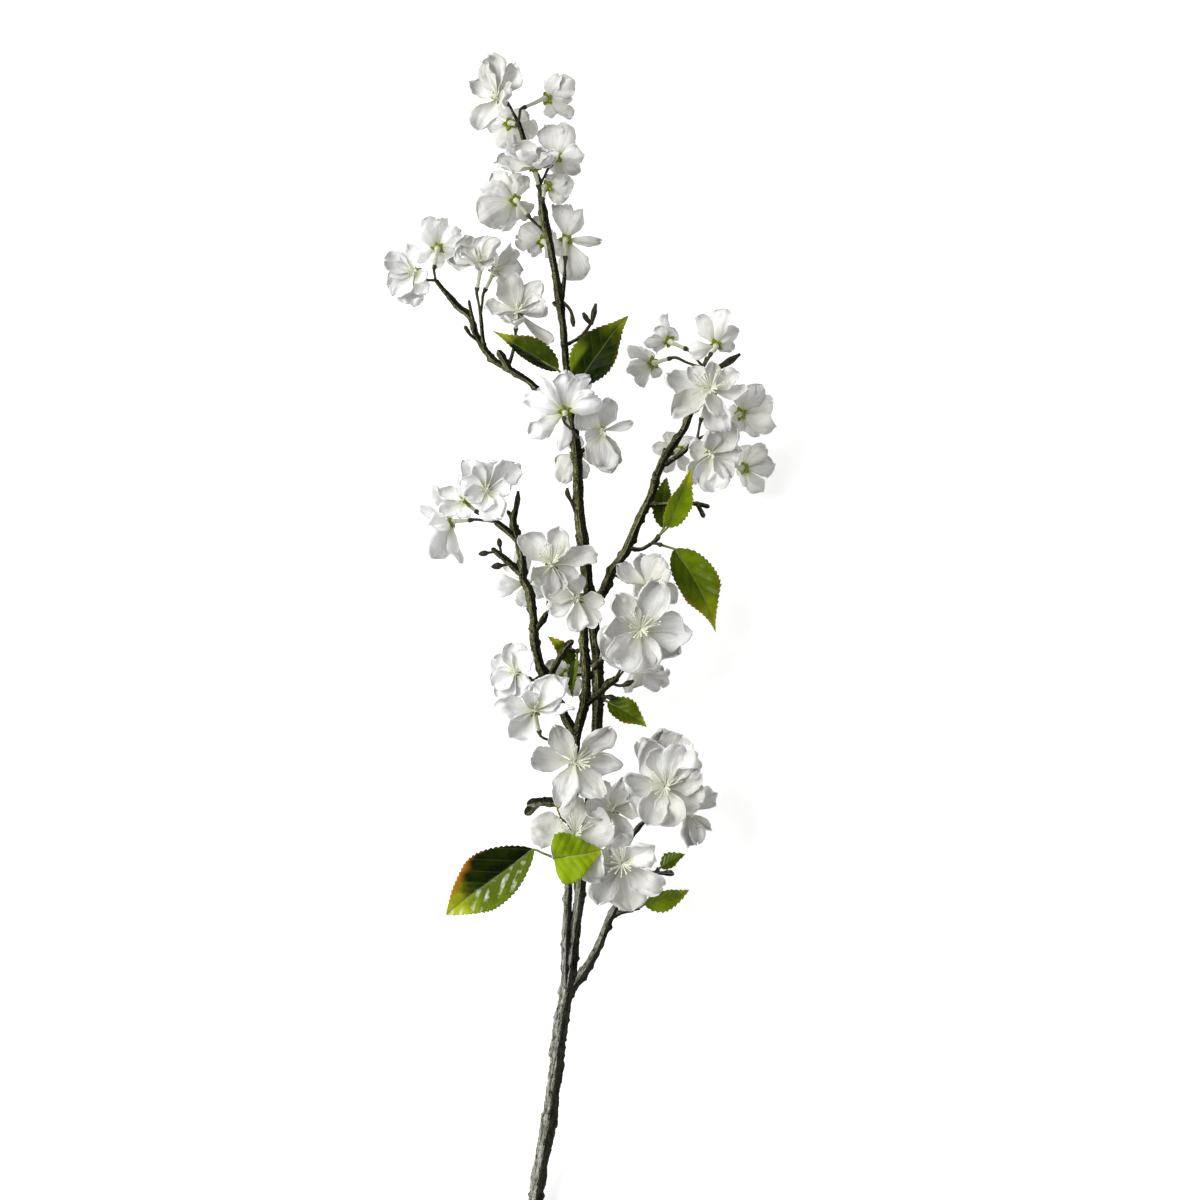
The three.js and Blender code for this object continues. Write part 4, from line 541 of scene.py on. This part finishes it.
def tube(piece, points, radii, sides, step, material, seed, relief=0.0, cut=None, round_end=False,
         knobs=0.0):
    """A closed round rod through the points; cut is its first end's material where that differs."""
    line, radius, s = smooth_line(points, radii, step)
    if round_end:
        radius = radius * np.sqrt(np.clip((s[-1] - s + 0.05) / radius[-1], 0, 1))
    turns = 2 * np.pi * np.arange(sides) / sides
    reach = np.repeat(radius[:, None], sides, axis=1)
    c, d, a = np.cos(turns)[None], np.sin(turns)[None], s[:, None]
    if relief:
        reach = reach * (1 + relief * bark_form(c, d, a, seed))
    for k in range(int(s[-1] / KNOB_STEP) if knobs else 0):
        at = (k + 0.5 + 0.35 * draw(seed, 3 * k)) * KNOB_STEP
        around = 0.45 + 0.55 * np.cos(turns[None] - 9 * draw(seed, 3 * k + 1))
        lump = np.exp(-(((a - at) / KNOB_LENGTH) ** 2)) * around
        reach = reach * (1 + knobs * (1 + 0.5 * draw(seed, 3 * k + 2)) * lump)
    skin = line[:, None] + spokes(line, turns) * reach[..., None]
    places = np.stack(np.broadcast_arrays(c + 7 * seed, d, a / 10), -1)
    index = np.arange(len(line) * sides).reshape(-1, sides)
    beside = np.roll(index, -1, axis=1)
    faces = np.stack([index[:-1], beside[:-1], beside[1:], index[1:]], -1).reshape(-1, 4)
    first = piece.count
    piece.add(skin.reshape(-1, 3), faces, material, places.reshape(-1, 3))
    last = piece.count - sides
    rim = list(range(sides))
    ends = ((0, first, rim[::-1], material if cut is None else cut), (-1, last, rim, material))
    for end, start, order, cover in ends:
        start = start - piece.count
        fan = [(start + i, start + j, 0) for i, j in zip(order, order[1:] + order[:1])]
        piece.add([line[end]], fan, cover, [places[end].mean(0)])


def spindle(piece, middle, way, form, sides, step, material, seed, relief=0.0):
    """A round form on the axis that runs through middle along way."""
    places, radii = zip(*form)
    tube(piece, [middle + way * at for at in places], radii, sides, step, material, seed, relief)


def sheet(piece, grid, thick, material, places):
    """A thin sheet with two faces and a rim, over a grid of points."""
    normal = unit(np.cross(np.gradient(grid, axis=1), np.gradient(grid, axis=0)) + 1e-12)
    points = np.stack([grid + normal * thick / 2, grid - normal * thick / 2]).reshape(-1, 3)
    n = len(points) // 2
    index = np.arange(n).reshape(grid.shape[:2])
    a, b, c, d = index[:-1, :-1], index[:-1, 1:], index[1:, 1:], index[1:, :-1]
    faces = np.stack([a, b, c, d, n + d, n + c, n + b, n + a], -1).reshape(-1, 4).tolist()
    rim = [*index[0], *index[1:, -1], *index[-1, -2::-1], *index[-2:0:-1, 0]]
    faces += [(b, a, n + a, n + b) for a, b in zip(rim, rim[1:] + rim[:1])]
    piece.add(points, faces, material, np.concatenate([places.reshape(-1, 3)] * 2))


def direction_of(facing, turn, lean):
    """The direction that leans from facing by lean, on the side that turn gives, both in degrees."""
    if abs(facing[2]) > 0.75:
        first = unit(np.array([1.0, 0, 0]) - facing * facing[0])
        second = np.cross(facing, first) * np.sign(facing[2])
    else:
        second = unit(np.array([0, 0, 1.0]) - facing * facing[2])
        first = np.cross(second, facing)
    turn, lean = math.radians(turn), math.radians(lean)
    spread = first * math.cos(turn) + second * math.sin(turn)
    return facing * math.cos(lean) + spread * math.sin(lean)


def arc(angle, step, axis):
    """Where a line that starts at 0 gets to along axis, from its angle at each point."""
    both = []
    for part in (np.cos(angle) * step, np.sin(angle) * step):
        ahead, behind = np.delete(part, 0, axis), np.delete(part, -1, axis)
        zero = np.zeros_like(np.take(part, [0], axis))
        both.append(np.concatenate([zero, np.cumsum((ahead + behind) / 2, axis)], axis))
    return both


def petal(piece, heart, facing, direction, length, seed, shift, fuller, pointed, cloth):
    """A cupped petal that starts beside the heart and ends length away from it."""
    own = {key: middle + spread * draw(seed, n) for key, (n, middle, spread) in PETAL_DRAWS.items()}
    width = PETAL_WIDTH + SHORT_PETAL_WIDER * max(0, SHORT_PETAL - length)
    flat = min(width * length, PETAL_WIDTH_MOST) * own["width"] * fuller / 2
    inner = unit(facing - direction * facing.dot(direction))
    side = np.cross(direction, inner)
    direction, inner = turned(direction, inner, math.radians(shift + own["lean"]))
    side, inner = turned(side, inner, math.radians(own["twist"]))
    across = np.cross(inner, direction)
    # the line up its middle
    u = np.linspace(0, 1, PETAL_ROWS + 1)
    bend = math.radians(own["bow"]) * (2 * u - 1)
    bend += math.radians(own["curl"]) * ramp(u, 0.66, 0.34) ** 1.4
    run, rise = arc(bend, 1 / PETAL_ROWS, 0)
    tilt = math.atan2(rise[-1], run[-1])
    reach = (length - PETAL_START) / math.hypot(rise[-1], run[-1])
    run, rise = turned(run * reach, rise * reach, tilt)
    ahead, up = turned(direction, inner, (bend - tilt)[:, None])
    line = heart + direction * (PETAL_START + run)[:, None] + inner * rise[:, None]
    # its outline, and how it cups and rolls across
    widest = own["widest"]
    swell = np.sin(ramp(u, 0, widest) * np.pi / 2) ** 1.25
    blunt = own["point" if pointed else "blunt"]
    close = np.sqrt(np.clip(1 - ramp(u, widest, 1 - widest) ** blunt, 0.008, 1))
    half = ((PETAL_FOOT + (1 - PETAL_FOOT) * swell) * close * flat)[:, None]
    v = np.linspace(-1, 1, PETAL_COLUMNS + 1)
    cup = math.radians(own["cup"]) * (1 + 1.3 * (1 - u) ** 3)
    angle = cup[:, None] * v
    for hand, edge in (("left", -v), ("right", v)):
        roll = math.radians(own[hand + " roll"]) * ramp(edge, 0.55, 0.45) ** 1.4
        angle += np.sign(v) * roll * ramp(u, own[hand + " start"], 0.25)[:, None]
    out, lift = arc(angle, 2 / PETAL_COLUMNS, 1)
    frayed = 1
    for share, often, layer in FRAYS:
        frayed += share * rough(often * u[:, None] + seed, 2.0 * np.sign(v), layer)
    middle = [PETAL_COLUMNS // 2]
    out = (out - out[:, middle]) * half * frayed
    lift = (lift - lift[:, middle]) * half
    # ruffles, folds and creases
    u, v = np.meshgrid(u, v, indexing="ij")
    depth = length * ramp(u, 0.15, 0.6) ** 1.3
    wave = np.where(v < 0, own["left wave"], own["right wave"])
    lift += EDGE_WAVE * depth * v**2 * np.sin(9 * u + wave)
    lift += RIPPLE * depth * np.sin(3.8 * v + own["ripple"] + 1.5 * u)
    for share, along, sideways, layer in CREASES:
        lift += share * depth * rough(along * u + seed, sideways * v, layer)
    lift -= RIB * length * np.exp(-((v / 0.12) ** 2)) * np.sin(np.pi * u)
    notch = max(0, own["notch"]) * np.exp(-((v / 0.22) ** 2))
    notch += UNEVEN_END * rough(2.4 * v + seed, 0, 7.5)
    sway = own["sway"] * length * u**2
    grid = line[:, None] + across * (out + sway)[..., None] + up[:, None] * lift[..., None]
    grid -= ahead[:, None] * (notch * length * u**6)[..., None]
    sheet(piece, grid, PETAL_THICK, cloth, np.stack([u, v, 0 * u + 3.7 * seed], -1))


def sepal(piece, heart, facing, k, seed):
    """One of the green points that show between the petals' feet."""
    out = direction_of(facing, 36 + 360 / SEPALS * k + 9 * draw(seed, 30 + k), 90)
    u, v = np.linspace(0, 1, 9)[:, None], np.linspace(-1, 1, 7)[None]
    half = SEPAL_HALF_WIDTH * (1 - u**2.2) * (1 + 0.12 * draw(seed, 35 + k)) + 0.08
    reach = SEPAL_START + (SEPAL_REACH - SEPAL_START + 0.5 * draw(seed, 80 + k)) * u
    lift = 0.15 * np.sin(5 * u + k) + 0.3 * v**2 * (1 - u) + 0.12 * rough(4 * u + seed, 3 * v, 0.5 + k)
    grid = heart - facing * 0.9 + out * reach[..., None] + np.cross(facing, out) * (half * v)[..., None]
    places = np.stack(np.broadcast_arrays(u, v, seed), -1)
    sheet(piece, grid + facing * lift[..., None], SEPAL_THICK, CALYX, places)


def bloom(name, row, seed):
    piece = Piece()
    _, cup, heart, facing, opening, petals = row
    cup, heart, facing = np.array(cup, float), np.array(heart, float), unit(facing)
    cloth = LIT_PETAL if name in LIT_BLOOMS else PETAL
    for k, (turn, length, *own) in enumerate(petals + BACK_PETALS.get(name, [])):
        direction = direction_of(facing, turn, own[0] if own else opening)
        fuller = FULLER.get(name, 1.0) * ROLLED.get((name, k), 1.0)
        petal(piece, heart, facing, direction, length, 10 * seed + k, LAYER_LEANS[k % 2], fuller,
              name in POINTED, cloth)
    back = heart - facing * NECK_BACK
    neck = [cup, cup * 0.55 + back * 0.45 + unit(heart - cup) * 0.3, back, heart - facing * NECK_FRONT]
    tube(piece, neck, NECK_RADII, 12, 0.5, NECK, seed)
    spindle(piece, heart, facing, CALYX_FORM, 16, 0.3, CALYX, seed, CALYX_RELIEF)
    middle = CALYX if name in GREEN_HEARTS else FILAMENT
    spindle(piece, heart, facing, EYE_FORM, 12, 0.2, middle, seed)
    for k in range(SEPALS):
        sepal(piece, heart, facing, k, seed)
    count, share, reach = FULL_TUFT if name in TUFTS else SMALL_TUFT
    sway = np.array([*TUFTS.get(name, (0, 0)), 0.0])
    for k in range(count):
        turn = 137.5 * k + 20 * draw(seed, 40 + k)
        wide = (16 + 60 * ((k * 0.618) % 1)) * share
        way = unit(direction_of(facing, turn, wide) + sway)
        length = reach * (1 + 0.25 * draw(seed, 60 + k))
        foot = heart + facing * 0.6 + way * 0.4
        tip = foot + way * length
        bend = foot + unit(way + 0.3 * facing) * length * 0.5
        tube(piece, [foot, bend, tip], FILAMENT_RADII, 6, length / 5, middle, seed + k)
        spindle(piece, tip, way, ANTHER_FORM, 6, 0.35, ANTHER, seed + k)
    piece.make("dress_bloom_" + name, "bloom_" + name)


def leaf(name, row, seed):
    piece = Piece()
    joint, base, tip, face = (np.array(p, float) for p in row[1:5])
    width = row[5]
    length = np.linalg.norm(tip - base)
    along = unit(tip - base)
    face = unit(face - along * face.dot(along))
    across = np.cross(face, along)
    # the outline with its teeth; each half is its own side of v
    teeth = max(6, round(length / TOOTH_STEP))
    u, v = np.linspace(0, 1, teeth * 6 + 1)[:, None], np.linspace(-1, 1, 21)[None]
    shape = np.sin(np.pi * u ** EARLY.get(name, USUAL_EARLY)) ** LEAF_FULLNESS
    shape = shape * (1 - TAILS.get(name, USUAL_TAIL) * ramp(u, 0.55, 0.45))
    saw = 1 - (u * teeth) % 1
    uneven = 1 + 0.35 * rough(np.floor(u * teeth) * 1.7, np.sign(v), 0.5 + seed)
    tooth = np.clip(shape * 3, 0, 1) * TOOTH_DEPTH / width * (saw - 0.4) * uneven * np.abs(v) ** 5
    sideways = (shape + 0.012) * v + np.sign(v) * tooth
    # how it arches, folds, swells between the veins, waves and droops
    size = np.abs(sideways)
    height = LEAF_ARCH * length * np.sin(np.pi * u) + LEAF_FOLD * width * size**1.1
    lanes = u * LEAF_VEINS - VEIN_SLANT * size
    quilt = np.abs(np.sin(np.pi * lanes)) * np.clip(size * 5, 0, 1) * np.sqrt(np.clip(1 - size, 0, 1))
    height += QUILT * width * quilt * (1 + 0.6 * rough(3 * u + seed, 2 * v, 0.5))
    height += LEAF_WAVE * width * size * np.sin(4.4 * np.pi * u + 2.4 * np.sign(v) + seed)
    height -= DROOP * length * ramp(u, 0.65, 0.35) ** 2
    height += LEAF_DENTS * width * rough(6 * u + seed, 3 * sideways, 0.5)
    down = np.radians(TURNED_DOWN.get(name, 0)) * np.clip(v * 6, 0, 1)
    height = height * np.cos(down) - np.clip(sideways, 0, 1) * width / 2 * np.sin(down)
    sway = 0.03 * length * np.sin(np.pi * u) * draw(seed, 3)
    flat = sideways * width / 2 * np.cos(down) + sway
    grid = base + along * (length * u)[..., None] + across * flat[..., None] + face * height[..., None]
    places = np.stack(np.broadcast_arrays(u, sideways, seed), -1)
    sheet(piece, grid, LEAF_THICK, leaf_material(name), places)
    # its stalk runs on as the rib
    arch = face * LEAF_ARCH * length
    near = base + along * length * 0.14 + arch * math.sin(math.pi * 0.14)
    into = base + along * length * 0.5 + arch * 0.98 - face * 0.35
    tube(piece, [joint, joint * 0.4 + base * 0.6, base, near, into], PETIOLE_RADII, 8, 0.8, PETIOLE, seed)
    piece.make("dress_leaf_" + name, "leaf_" + name)


def stalk(piece, start, cup, following, seed):
    """A stalk from the wood that ends in a small cup, short of the bloom or leaf that follows."""
    start, cup, following = (np.array(p, float) for p in (start, cup, following))
    inward = unit(cup - following)
    end = cup + inward * CUP_GAP
    below = end + inward * min(3, 0.4 * np.linalg.norm(end - start))
    points = [start, start * 0.5 + below * 0.5, below, end * 0.6 + below * 0.4, end]
    tube(piece, points, STALK_RADII, 10, 0.6, STALK, seed, STALK_RELIEF)


def branch():
    piece = Piece()
    for seed, (name, route) in enumerate(ROUTES.items()):
        points, radii = [p[:3] for p in route], [p[3] for p in route]
        sides = 28 if max(radii) > THICK_WOOD else 20 if max(radii) > MIDDLING_WOOD else 14
        step = 0.75 if max(radii) > MIDDLING_WOOD else 0.6
        if "bud" in name and name not in NOT_BUDS:
            tube(piece, points, radii, sides, step, BUD, seed, BUD_RELIEF)
        else:
            is_trunk = name == "trunk"
            tube(piece, points, radii, sides, step, BARK, seed, BARK_RELIEF, cut=CUT if is_trunk else None,
                 round_end=True, knobs=TRUNK_KNOBS if is_trunk else KNOBS)
    for seed, row in enumerate(BLOOMS.values()):
        stalk(piece, *row[:3], seed)
    for seed, row in enumerate(LEAVES.values()):
        stalk(piece, *row[:3], seed + 50)
    for seed, (foot, middle, radius) in enumerate(ROUND_BUDS):
        foot, middle = np.array(foot, float), np.array(middle, float)
        out = unit(middle - foot) * radius
        points = [foot, middle - out * 1.7] + [middle + out * at for at, _ in ROUND_BUD_FORM]
        radii = [BUD_NECK, BUD_NECK] + [radius * wide for _, wide in ROUND_BUD_FORM]
        tube(piece, points, radii, 16, 0.3, BUD, seed, BUD_RELIEF)
    piece.make("dress_branch", "branch")


class Shade:
    """A material's node tree, and short ways to add nodes to it."""

    def __init__(self, name, roughness, **sockets):
        self.material = bpy.data.materials.new(name)
        self.material.use_nodes = True
        self.tree = self.material.node_tree
        self.shader = self.tree.nodes["Principled BSDF"].inputs
        self.shader["Roughness"].default_value = roughness
        for socket, value in sockets.items():
            self.shader[socket.replace("_", " ")].default_value = value

    def wire(self, socket, value):
        self.tree.links.new(value, self.shader[socket])

    def node(self, kind, inputs, out=0, **settings):
        node = self.tree.nodes.new("ShaderNode" + kind)
        for key, value in settings.items():
            setattr(node, key, value)
        for key, value in inputs.items():
            if isinstance(value, bpy.types.NodeSocket):
                self.tree.links.new(value, node.inputs[key])
            else:
                node.inputs[key].default_value = value
        return node.outputs if out is None else node.outputs[out]

    def place(self):
        """A petal's or leaf's own coordinates, or the bark's: turn and way along the wood."""
        return self.node("Attribute", {}, "Vector", attribute_name="place")

    def where(self):
        return self.node("TexCoord", {}, "Object")

    def parts(self, vector):
        return self.node("SeparateXYZ", {0: vector}, None)

    def math(self, operation, a, b=0.0):
        return self.node("Math", {0: a, 1: b}, operation=operation)

    def plus(self, a, b):
        return self.math("ADD", a, b)

    def minus(self, a, b):
        return self.math("SUBTRACT", a, b)

    def times(self, a, b):
        return self.math("MULTIPLY", a, b)

    def noise(self, vector, scale, detail=3.0, roughness=0.55, stretch=None):
        if stretch:
            vector = self.node("Mapping", {"Vector": vector, "Scale": stretch})
        inputs = {"Vector": vector, "Scale": scale, "Detail": detail, "Roughness": roughness}
        return self.node("TexNoise", inputs)

    def step(self, value, low, high):
        """0 where value is at low and 1 where it is at high, with a soft change between."""
        inputs = {"Value": value, "From Min": low, "From Max": high}
        return self.node("MapRange", inputs, interpolation_type="SMOOTHSTEP")

    def mix(self, share, a, b, blend="MIX"):
        a, b = ((*tone, 1) if isinstance(tone, tuple) else tone for tone in (a, b))
        return self.node("Mix", {0: share, 6: a, 7: b}, 2, data_type="RGBA", blend_type=blend)

    def tint(self, base, share, most, tone):
        """base with tone laid over it where share is 1, as strongly as most says."""
        return self.mix(self.times(share, most), base, tone)

    def bump(self, height, strength, distance):
        inputs = {"Height": height, "Strength": strength, "Distance": distance}
        self.wire("Normal", self.node("Bump", inputs))


def petal_material(name, white, shaded):
    """White cloth with painted shade and a painted highlight at the rim; shaded is how much of the painted
    shade it has, from 0 to 1.
    """
    s = Shade(name, 0.75, Sheen_Weight=0.1)
    place = s.place()
    u, v, _ = s.parts(place)
    streaks = s.noise(place, 2.0, 4.0, stretch=(1.2, 6.0, 1.0))
    own = s.noise(place, 1.0, 1.0, stretch=(0.6, 0.4, 1.0))
    side = s.math("MAXIMUM", s.math("ABSOLUTE", v), u)
    base = s.mix(s.step(u, 0.46, 0.0), white, THROAT)
    # The cloth's own streaks, deepened as painted shade on the shaded copy
    base = s.tint(base, s.step(streaks, 0.4, 0.8), 0.2 + 0.7 * shaded, STREAK)
    # Painted shade: patches of warm grey shade
    base = s.tint(base, s.step(own, 0.4, 0.65), 0.05 + 0.6 * shaded, SHADE)
    # Painted shade just inside the edge, and a painted highlight on the rim itself
    base = s.tint(base, s.step(side, 0.70, 0.93), 0.2 + 0.3 * shaded, EDGE_SHADE)
    base = s.tint(base, s.step(side, 0.95, 0.985), 0.8, EDGE_HIGHLIGHT)
    s.wire("Base Color", base)
    weave = s.noise(s.where(), 2600.0, 2.0)
    s.bump(s.plus(streaks, s.times(weave, 0.15)), 0.6, 0.0010)
    return s.material


def spotted_material(name, light, dark, roughness, scale):
    s = Shade(name, roughness, Specular_IOR_Level=0.2)
    spots = s.noise(s.where(), scale, 4.0)
    s.wire("Base Color", s.mix(s.step(spots, 0.35, 0.65), dark, light))
    s.bump(spots, 0.4, 0.0003)
    return s.material


def bark_material():
    """Olive bark that turns grey towards the foot, with painted shade darkening its right-hand side."""
    s = Shade("bark", 0.85, Specular_IOR_Level=0.1)
    place, where = s.place(), s.where()
    streaks = s.noise(place, 1.8, 5.0, 0.72, stretch=(2.0, 2.0, 0.36))
    rings = s.noise(place, 2.0, 3.0, 0.6, stretch=(0.6, 0.6, 7.0))
    cracks = s.noise(place, 2.8, 3.0, 0.6, stretch=(1.0, 1.0, 0.14))
    patches = s.noise(where, 300.0, 4.0, 0.72)
    specks = s.noise(where, 700.0, 2.0)
    tone = s.plus(s.times(streaks, 0.6), s.times(patches, 0.4))
    some, most = s.step(tone, 0.42, 0.49), s.step(tone, 0.51, 0.58)
    olive, grey = (s.mix(most, s.mix(some, *tones[:2]), tones[2]) for tones in (OLIVE_BARK, GREY_BARK))
    base = s.mix(s.step(s.parts(where)[1], -0.05, -0.16), olive, grey)
    crack = s.step(s.math("ABSOLUTE", s.minus(cracks, 0.5)), 0.032, 0.008)
    base = s.tint(base, crack, 0.85, CRACK)
    base = s.tint(base, s.step(rings, 0.57, 0.63), 0.45, RING)
    base = s.tint(base, s.step(specks, 0.57, 0.64), 0.5, SPECK)
    # Painted shade: the right-hand side of the wood, away from the light, is darkened
    around = s.plus(s.parts(place)[1], s.times(patches, 0.9))
    s.wire("Base Color", s.mix(s.step(around, 0.40, 0.52), base, PAINTED_SHADE_SIDE, "MULTIPLY"))
    height = s.plus(s.times(rings, 0.8), s.times(specks, 0.4))
    height = s.plus(s.plus(s.times(streaks, 1.4), patches), height)
    s.bump(s.minus(height, s.times(crack, 0.5)), 1.0, 0.0022)
    return s.material


def leaf_material(name):
    left, right, yellow, orange, painted_gloss = LEAF_TONES[name]
    s = Shade("leaf_" + name, 0.33, Specular_IOR_Level=0.03)
    u, v, _ = s.parts(s.place())
    side = s.math("ABSOLUTE", v)
    where = s.where()
    patches = s.noise(where, 75.0, 4.0)
    # How dark each half is: partly the leaf's own deep green and partly painted shade
    dark = s.plus(left, s.times(s.step(v, -0.05, 0.05), right - left))
    deep, light, pale = (s.mix(dark, *tones) for tones in (LEAF_DEEP, LEAF_LIGHT, VEIN))
    lanes = s.minus(s.times(u, LEAF_VEINS), s.times(side, VEIN_SLANT))
    band = s.times(s.math("SINE", s.times(lanes, 2 * math.pi)), 0.03)
    base = s.mix(s.step(s.plus(patches, band), 0.35, 0.65), deep, light)
    if name in STRIPS:
        base = s.mix(s.times(s.step(v, 0.4, 0.65), s.step(u, 0.5, 0.3)), base, STRIPS[name])
    # yellow outer part and orange edge
    outer = s.step(s.plus(u, s.times(patches, 0.4)), 0.8, 1.1)
    base = s.tint(base, outer, yellow, YELLOW)
    rim = s.plus(side, s.times(s.step(u, 0.35, 1.0), 0.9))
    rim = s.step(s.plus(rim, s.times(patches, 0.6)), 1.22, 1.6)
    if orange < 0:
        rim = s.times(rim, s.step(v, 0.2, -0.1))
    base = s.tint(base, rim, abs(orange), ORANGE)
    # veins and rib
    lanes = s.math("ABSOLUTE", s.minus(s.math("FRACT", lanes), 0.5))
    lines = s.math("MAXIMUM", s.times(s.step(lanes, 0.43, 0.5), 0.4), s.step(side, 0.06, 0.015))
    base = s.tint(base, lines, s.minus(0.65, s.times(dark, 0.35)), pale)
    # Painted highlight: gloss that lies on the swells between the veins
    painted_gloss_mask = s.step(s.plus(lanes, s.times(patches, 0.35)), 0.42, 0.30)
    painted_gloss_mask = s.times(painted_gloss_mask, s.step(s.noise(where, 85.0, 4.0), 0.46, 0.62))
    painted_gloss_mask = s.times(painted_gloss_mask, s.step(side, 0.95, 0.6))
    painted_gloss_mask = s.times(painted_gloss_mask, s.step(v, -0.1, 0.1) if painted_gloss > 0 else s.step(v, 0.1, -0.1))
    s.wire("Base Color", s.tint(base, painted_gloss_mask, abs(painted_gloss), PAINTED_GLOSS))
    s.wire("Roughness", s.plus(0.16, s.times(patches, 0.25)))
    s.bump(s.plus(s.times(lines, -0.7), s.times(s.noise(where, 700.0, 3.0), 0.35)), 0.6, 0.0008)
    return s.material


def cut_material():
    """Growth rings about the axis of the trunk's cut foot."""
    s = Shade("cut_wood", 0.8)
    x, _, z = s.parts(s.where())
    foot_x, _, foot_z, _ = ROUTES["trunk"][0]
    dx, dz = s.minus(x, foot_x * MM), s.minus(z, foot_z * MM)
    out = s.math("SQRT", s.plus(s.times(dx, dx), s.times(dz, dz)))
    years = s.math("SINE", s.times(out, 9000.0))
    s.wire("Base Color", s.mix(s.step(years, -0.6, 0.9), *CUT_WOOD))
    s.bump(years, 0.3, 0.0002)
    return s.material


def floor_material():
    s = Shade("floor", 0.85, Emission_Color=(1, 1, 1, 1), Emission_Strength=0.5)
    s.wire("Base Color", s.mix(s.noise(s.where(), 3.0, 2.0), *FLOOR_WHITE))
    return s.material


# A copy with painted shade, and a lit copy with a lighter white and little painted shade for the blooms in
# the light
PETAL = petal_material("petal_cloth", WHITE, 1.0)
LIT_PETAL = petal_material("petal_cloth_lit", LIT_WHITE, 0.0)
NECK, CALYX, FILAMENT, ANTHER, STALK, BUD, PETIOLE = (
    spotted_material(name, *row) for name, row in SPOTTED.items())
BARK = bark_material()
CUT = cut_material()

branch()
for number, (name, row) in enumerate(BLOOMS.items()):
    bloom(name, row, number + 1)
for number, (name, row) in enumerate(LEAVES.items()):
    leaf(name, row, number + 1)

# Floor, light and camera, in metres
FLOOR = 4.0
SUN_FROM = (-1.25, 0.55, 1.0)
SUN_ENERGY = 2.95
SUN_ANGLE = 48
SKY = 0.42
LENS, SENSOR = 150, 36
SHOWN = 0.72  # width of the picture at the height of the wood
CENTRE = (0.0132, 0.033)
WOOD_HEIGHT = 0.05

floor_mesh = bpy.data.meshes.new("floor")
corners = [(-FLOOR, -FLOOR, 0), (FLOOR, -FLOOR, 0), (FLOOR, FLOOR, 0), (-FLOOR, FLOOR, 0)]
floor_mesh.from_pydata(corners, [], [(0, 1, 2, 3)])
floor_mesh.materials.append(floor_material())
floor = put("floor", floor_mesh)

sun_data = bpy.data.lights.new("sun", "SUN")
sun_data.energy = SUN_ENERGY
sun_data.angle = math.radians(SUN_ANGLE)
sun = put("sun", sun_data)
sun.rotation_mode = "QUATERNION"
sun.rotation_quaternion = Vector(SUN_FROM).to_track_quat("Z", "Y")

world = bpy.data.worlds.new("studio")
world.use_nodes = True
sky = world.node_tree.nodes["Background"].inputs
sky["Color"].default_value = (1, 1, 1, 1)
sky["Strength"].default_value = SKY
bpy.context.scene.world = world
bpy.context.scene.view_settings.view_transform = "Standard"

camera = bpy.data.cameras.new("camera")
camera.lens = LENS
camera.sensor_width = SENSOR
camera.clip_start, camera.clip_end = 0.1, 20
view = put("camera", camera)
view.location = (*CENTRE, WOOD_HEIGHT + SHOWN * LENS / SENSOR)
bpy.context.scene.camera = view
